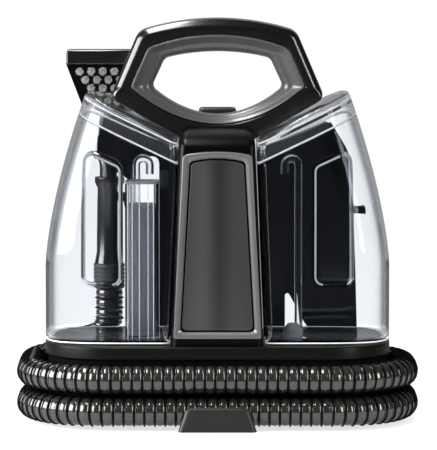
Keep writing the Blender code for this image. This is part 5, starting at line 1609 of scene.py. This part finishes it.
def bristle_group():
    """Geometry Nodes: a tapered strand on every point, leaning along the point's own direction."""
    group = bpy.data.node_groups.new("brush_strands", "GeometryNodeTree")
    face = group.interface
    face.new_socket("Geometry", in_out="INPUT", socket_type="NodeSocketGeometry")
    face.new_socket("Length", in_out="INPUT", socket_type="NodeSocketFloat")
    face.new_socket("Radius", in_out="INPUT", socket_type="NodeSocketFloat")
    face.new_socket("Finish", in_out="INPUT", socket_type="NodeSocketMaterial")
    face.new_socket("Geometry", in_out="OUTPUT", socket_type="NodeSocketGeometry")
    nodes = group.nodes
    link = group.links.new
    given = nodes.new("NodeGroupInput")
    out = nodes.new("NodeGroupOutput")
    strand = nodes.new("GeometryNodeMeshCone")
    strand.inputs["Vertices"].default_value = STRAND_SIDES
    link(given.outputs["Radius"], strand.inputs["Radius Bottom"])
    tip = node_math(group, "MULTIPLY", given.outputs["Radius"], STRAND_TAPER)
    link(tip, strand.inputs["Radius Top"])
    link(given.outputs["Length"], strand.inputs["Depth"])
    points = nodes.new("GeometryNodeMeshToPoints")
    link(given.outputs["Geometry"], points.inputs["Mesh"])
    lean = nodes.new("GeometryNodeInputNamedAttribute")
    lean.data_type = "FLOAT_VECTOR"
    lean.inputs["Name"].default_value = "lean"
    stray = nodes.new("FunctionNodeRandomValue")
    stray.data_type = "FLOAT_VECTOR"
    stray.inputs[0].default_value = (-STRAND_STRAY, -STRAND_STRAY, -STRAND_STRAY)
    stray.inputs[1].default_value = (STRAND_STRAY, STRAND_STRAY, STRAND_STRAY)
    stray.inputs["Seed"].default_value = STRAY_SEED
    toward = nodes.new("ShaderNodeVectorMath")
    toward.operation = "ADD"
    link(lean.outputs["Attribute"], toward.inputs[0])
    link(stray.outputs["Value"], toward.inputs[1])
    align = nodes.new("FunctionNodeAlignRotationToVector")
    align.axis = "Z"
    link(toward.outputs[0], align.inputs["Vector"])
    trim = nodes.new("FunctionNodeRandomValue")
    trim.data_type = "FLOAT"
    trim.inputs[2].default_value = STRAND_LEAST_LENGTH
    trim.inputs[3].default_value = 1.0
    trim.inputs["Seed"].default_value = LENGTH_SEED
    scale = nodes.new("ShaderNodeCombineXYZ")
    scale.inputs["X"].default_value = 1.0
    scale.inputs["Y"].default_value = 1.0
    link(trim.outputs[1], scale.inputs["Z"])
    place = nodes.new("GeometryNodeInstanceOnPoints")
    link(points.outputs["Points"], place.inputs["Points"])
    link(strand.outputs["Mesh"], place.inputs["Instance"])
    link(align.outputs["Rotation"], place.inputs["Rotation"])
    link(scale.outputs[0], place.inputs["Scale"])
    real = nodes.new("GeometryNodeRealizeInstances")
    link(place.outputs["Instances"], real.inputs["Geometry"])
    finish = nodes.new("GeometryNodeSetMaterial")
    link(real.outputs["Geometry"], finish.inputs["Geometry"])
    link(given.outputs["Finish"], finish.inputs["Material"])
    link(finish.outputs["Geometry"], out.inputs["Geometry"])
    return group


def tuft_centres():
    for row, count in enumerate(TUFT_ROWS):
        z = TUFT_TOP_LEVEL - row * TUFT_ROW_PITCH
        for index in range(count):
            yield WAND_X + (index - (count - 1) / 2) * TUFT_PITCH, z


def make_brush():
    """Pale tufts on a dark plate."""
    front = TOOL_FRONT - GAP - BACKING_THICKNESS
    golden_turn = math.pi * (3 - math.sqrt(5))
    roots = []
    leans = []
    for x, z in tuft_centres():
        for index in range(sizes().strands):
            radius = TUFT_RADIUS * math.sqrt((index + 0.5) / sizes().strands)
            dx = radius * math.cos(index * golden_turn)
            dz = radius * math.sin(index * golden_turn)
            roots.append((x + dx, front + BACKING_THICKNESS / 2, z + dz))
            spread = (TUFT_SPREAD - 1) / TUFT_LENGTH
            leans.append((spread * dx, -1.0, spread * dz))
    data = bpy.data.meshes.new("strand_roots")
    data.from_pydata(roots, [], [])
    lean = data.attributes.new("lean", "FLOAT_VECTOR", "POINT")
    lean.data.foreach_set("vector", np.array(leans, np.float32).ravel())
    thing = bpy.data.objects.new("strand_roots", data)
    bpy.context.scene.collection.objects.link(thing)
    inputs = {
        "Length": TUFT_LENGTH + BACKING_THICKNESS / 2,
        "Radius": sizes().strand_width / 2,
        "Finish": bristle_finish(),
    }
    mesh = grown_mesh(thing, bristle_group(), inputs)
    link_piece("brush_tufts", mesh, bristle_finish(), "tool", ("tool_brush",))
    half_top = TOOL_HALF_TOP - 2 * BACKING_BORDER
    half_bottom = TOOL_HALF_BOTTOM - BACKING_BORDER
    low = TOOL_BOTTOM + 4 * BACKING_BORDER
    high = TOOL_FLARE_LEVEL - GAP
    corners = [(WAND_X - half_bottom, low, BACKING_CORNER), (WAND_X + half_bottom, low, BACKING_CORNER)]
    corners += [(WAND_X + half_top, high, 0.0), (WAND_X - half_top, high, 0.0)]
    plate = mesh_of(front_slab(round_corners(corners), front, TOOL_FRONT - GAP), "brush_plate")
    plate = rounded_edges(plate, BACKING_EDGE)
    link_piece("brush_plate", plate, deep_finish(), "tool")


# Stage

CAMERA_PLACE = (0.0009, -4.0, 0.532)
CAMERA_TARGET = (0.0009, 0.0, 0.1703)
CAMERA_LENS = 365.0
SENSOR_WIDTH = 36.0
CAMERA_FAR = 60.0
WORLD_FILL = 0.30
WORLD_GLOSS = 0.03
FLOOR_HALF = 30.0
FLOOR_NEAR = 0.28
FLOOR_FAR = 0.75
FLOOR_NEAR_COLOUR = (0.42, 0.42, 0.42, 1.0)
FLOOR_FAR_COLOUR = (0.03, 0.03, 0.03, 1.0)
FLOOR_FILL = 0.12
FLOOR_LIFT = 0.70
FLOOR_GLOSS = 0.36
BACKDROP_Y = 1.8
BACKDROP_HALF_WIDTH = 1.6
BACKDROP_LOW = 0.001
BACKDROP_TOP = 2.0
BACKDROP_GLOSS = 0.38
STAGE_WHITE = (1.0, 1.0, 1.0, 1.0)


def aim(thing, place, target):
    """Puts a camera or a lamp at a place and turns it to its target."""
    thing.location = place
    thing.rotation_euler = (Vector(target) - Vector(place)).to_track_quat("-Z", "Y").to_euler()


def make_camera():
    data = bpy.data.cameras.new("camera")
    data.lens = CAMERA_LENS
    data.sensor_width = SENSOR_WIDTH
    data.clip_end = CAMERA_FAR
    camera = bpy.data.objects.new("camera", data)
    aim(camera, CAMERA_PLACE, CAMERA_TARGET)
    bpy.context.scene.collection.objects.link(camera)
    bpy.context.scene.camera = camera


def seen_and_mirrored(tree):
    """Masks for rays from the camera, straight or through clear walls only, and for mirrored rays."""
    path = tree.nodes.new("ShaderNodeLightPath")
    bounces = node_math(tree, "ADD", path.outputs["Diffuse Depth"], path.outputs["Glossy Depth"])
    straight = node_math(tree, "LESS_THAN", bounces, 0.5)
    either = node_math(tree, "MAXIMUM", path.outputs["Is Camera Ray"], path.outputs["Is Transmission Ray"])
    seen = node_math(tree, "MULTIPLY", straight, either)
    mirrored = node_math(tree, "SUBTRACT", path.outputs["Is Glossy Ray"], seen)
    mirrored.node.use_clamp = True
    return seen, mirrored


def white_strength(tree, gloss):
    """Strength of a white: full where it is seen, gloss in reflections and a soft fill elsewhere."""
    seen, mirrored = seen_and_mirrored(tree)
    strength = node_math(tree, "MULTIPLY_ADD", mirrored, gloss - WORLD_FILL, WORLD_FILL)
    return node_math(tree, "MULTIPLY_ADD", seen, 1.0 - WORLD_FILL, strength)


def make_world():
    """White surroundings where they are seen, dim in reflections, and a soft fill elsewhere."""
    world = bpy.data.worlds.new("studio")
    world.use_nodes = True
    bpy.context.scene.world = world
    tree = world.node_tree
    back = tree.nodes["Background"]
    back.inputs["Color"].default_value = STAGE_WHITE
    tree.links.new(white_strength(tree, WORLD_GLOSS), back.inputs["Strength"])


def place_stage_piece(name, shape, look):
    """An object of the stage at the origin, in its own finish."""
    mesh = mesh_of(shape, name)
    mesh.materials.append(look)
    piece = bpy.data.objects.new(name, mesh)
    bpy.context.scene.collection.objects.link(piece)
    return piece


def floor_finish():
    """Pale floor that keeps the shadow near the machine and goes over into white further off."""
    made, tree, shader = start_finish("floor_white")
    shader.inputs["Roughness"].default_value = 0.9
    shader.inputs["Specular IOR Level"].default_value = 0.0
    shader.inputs["Emission Color"].default_value = STAGE_WHITE
    place = tree.nodes.new("ShaderNodeTexCoord")
    distance = tree.nodes.new("ShaderNodeVectorMath")
    distance.operation = "LENGTH"
    tree.links.new(place.outputs["Object"], distance.inputs[0])
    range_off = tree.nodes.new("ShaderNodeMapRange")
    range_off.interpolation_type = "SMOOTHSTEP"
    range_off.inputs["From Min"].default_value = FLOOR_NEAR
    range_off.inputs["From Max"].default_value = FLOOR_FAR
    tree.links.new(distance.outputs["Value"], range_off.inputs["Value"])
    far = range_off.outputs["Result"]
    seen, mirrored = seen_and_mirrored(tree)
    dim = node_math(tree, "MULTIPLY", node_math(tree, "ADD", seen, mirrored), far)
    ground = node_mix(tree, dim, FLOOR_NEAR_COLOUR, FLOOR_FAR_COLOUR)
    tree.links.new(ground, shader.inputs["Base Color"])
    seen_level = node_math(tree, "MULTIPLY_ADD", far, 1.0 - FLOOR_LIFT, FLOOR_LIFT)
    seen_lift = node_math(tree, "MULTIPLY", seen_level, seen)
    mirrored_level = node_math(tree, "MULTIPLY_ADD", far, -FLOOR_GLOSS, FLOOR_GLOSS)
    mirrored_lift = node_math(tree, "MULTIPLY", mirrored_level, mirrored)
    fill = node_math(tree, "MULTIPLY_ADD", seen, -FLOOR_FILL, FLOOR_FILL)
    lift = node_math(tree, "ADD", seen_lift, mirrored_lift)
    tree.links.new(node_math(tree, "ADD", lift, fill), shader.inputs["Emission Strength"])
    return made


def make_floor():
    shape = bmesh.new()
    bmesh.ops.create_grid(shape, x_segments=1, y_segments=1, size=FLOOR_HALF)
    floor = place_stage_piece("floor", shape, floor_finish())


def make_backdrop():
    """White wall behind the machine, which shows only through clear plastic and in reflections."""
    made, tree, shader = start_finish("backdrop_white")
    shader.inputs["Base Color"].default_value = (0.0, 0.0, 0.0, 1.0)
    shader.inputs["Specular IOR Level"].default_value = 0.0
    shader.inputs["Emission Color"].default_value = STAGE_WHITE
    tree.links.new(white_strength(tree, BACKDROP_GLOSS), shader.inputs["Emission Strength"])
    shape = bmesh.new()
    corners = ((-1, BACKDROP_LOW), (1, BACKDROP_LOW), (1, BACKDROP_TOP), (-1, BACKDROP_TOP))
    shape.faces.new([shape.verts.new((side * BACKDROP_HALF_WIDTH, BACKDROP_Y, z)) for side, z in corners])
    backdrop = place_stage_piece("backdrop", shape, made)
    backdrop.visible_camera = False
    backdrop.visible_shadow = False


def add_softbox(name, place, target, size, watts, mirrored=True, lighting=True):
    """Area lamp that faces its target, and that can be left out of highlights or out of plain lighting."""
    data = bpy.data.lights.new(name, "AREA")
    data.shape = "RECTANGLE"
    data.size, data.size_y = size
    data.energy = watts
    lamp = bpy.data.objects.new(name, data)
    aim(lamp, place, target)
    lamp.visible_glossy = mirrored
    lamp.visible_diffuse = lighting
    lamp.visible_transmission = False
    bpy.context.scene.collection.objects.link(lamp)


def make_lights():
    middle = (0.0, 0.0, 0.18)
    add_softbox("left_box", (-1.25, -0.40, 0.60), middle, size=(1.25, 0.95), watts=46.0)
    add_softbox("right_box", (1.25, -1.0, 0.65), middle, size=(0.28, 1.1), watts=12.0)
    add_softbox("top_box", (0.0, -0.2, 1.9), middle, size=(1.4, 0.9), watts=32.0, mirrored=False)
    tool = (-0.17, 0.16, TOOL_TOP)
    add_softbox("tool_card", (-0.17, 0.10, 0.85), tool, size=(0.14, 1.0), watts=8.0, lighting=False)
    for side in (-1, 1):
        place = (side * 0.9, 1.3, 0.5)
        add_softbox("back_strip", place, middle, size=(0.35, 1.0), watts=6.0, mirrored=False)


# Operators, panel and registration


class EXTRACTOR_OT_stage(bpy.types.Operator):
    """Make the camera, the floor, the backdrop and the lights"""

    bl_idname = "extractor.stage"
    bl_label = "Stage"

    def execute(self, context):
        make_camera()
        make_world()
        make_floor()
        make_backdrop()
        make_lights()
        return {"FINISHED"}


class EXTRACTOR_OT_hose(bpy.types.Operator):
    """Make the ribbed hose and the cuff at its end"""

    bl_idname = "extractor.hose"
    bl_label = "Hose"

    def execute(self, context):
        make_hose(make_cuff())
        return {"FINISHED"}


class EXTRACTOR_OT_housing(bpy.types.Operator):
    """Make the handle, the column, the grip trim and the power button"""

    bl_idname = "extractor.housing"
    bl_label = "Housing"

    def execute(self, context):
        make_handle()
        make_column()
        make_handle_trim()
        make_power_button()
        return {"FINISHED"}


class EXTRACTOR_OT_front(bpy.types.Operator):
    """Make the bezel and the panel on the front"""

    bl_idname = "extractor.front"
    bl_label = "Front Panel"

    def execute(self, context):
        make_front_trim()
        return {"FINISHED"}


class EXTRACTOR_OT_tanks(bpy.types.Operator):
    """Make both tanks with their lids and the pipes that stand in them"""

    bl_idname = "extractor.tanks"
    bl_label = "Tanks"

    def execute(self, context):
        for name, side, body, tank, lid, tube in TANKS:
            make_tank(name + "_tank", side, body, tank)
            # The tank edge, pocket edge and lid edge lines are painted highlights on the clear plastic
            make_floor_highlight(name + "_tank_edge", side, body)
            make_pocket_highlight(name + "_pocket_edge", side, body)
            make_lid_highlights(name + "_lid_edge", side, body)
            make_lid(name + "_lid", side, body, lid)
            make_hook_tube(name + "_tube", side, body, tube)
        make_standpipe()
        return {"FINISHED"}


class EXTRACTOR_OT_base(bpy.types.Operator):
    """Make the base, the small mouldings and the works inside"""

    bl_idname = "extractor.base"
    bl_label = "Base and Mouldings"

    def execute(self, context):
        make_base()
        make_small_mouldings()
        make_inner_works()
        return {"FINISHED"}


class EXTRACTOR_OT_wand(bpy.types.Operator):
    """Make the wand, the stain tool and its brush"""

    bl_idname = "extractor.wand"
    bl_label = "Wand and Tool"

    def execute(self, context):
        make_wand()
        make_tool()
        make_brush()
        return {"FINISHED"}


OPERATORS = (
    EXTRACTOR_OT_stage,
    EXTRACTOR_OT_hose,
    EXTRACTOR_OT_housing,
    EXTRACTOR_OT_front,
    EXTRACTOR_OT_tanks,
    EXTRACTOR_OT_base,
    EXTRACTOR_OT_wand,
)


class EXTRACTOR_PT_panel(bpy.types.Panel):
    """Lists the extractor's pieces, sizes and colours"""

    bl_idname = "EXTRACTOR_PT_panel"
    bl_label = "Spot Extractor"
    bl_space_type = "VIEW_3D"
    bl_region_type = "UI"
    bl_category = "Extractor"

    def draw(self, context):
        for group in (context.scene.extractor_sizes, context.scene.extractor_colours):
            for name in group.bl_rna.properties.keys():
                if name not in ("rna_type", "name"):
                    self.layout.prop(group, name)
        for operator in OPERATORS:
            self.layout.operator(operator.bl_idname)


CLASSES = (ExtractorSizes, ExtractorColours, *OPERATORS, EXTRACTOR_PT_panel)


def register():
    for item in CLASSES:
        bpy.utils.register_class(item)
    bpy.types.Scene.extractor_sizes = bpy.props.PointerProperty(type=ExtractorSizes)
    bpy.types.Scene.extractor_colours = bpy.props.PointerProperty(type=ExtractorColours)


def unregister():
    del bpy.types.Scene.extractor_colours
    del bpy.types.Scene.extractor_sizes
    for item in reversed(CLASSES):
        bpy.utils.unregister_class(item)


def main():
    register()
    bpy.context.scene.view_settings.view_transform = "Standard"
    bpy.ops.extractor.stage()
    bpy.ops.extractor.hose()
    bpy.ops.extractor.housing()
    bpy.ops.extractor.front()
    bpy.ops.extractor.tanks()
    bpy.ops.extractor.base()
    bpy.ops.extractor.wand()


if __name__ == "__main__":
    main()
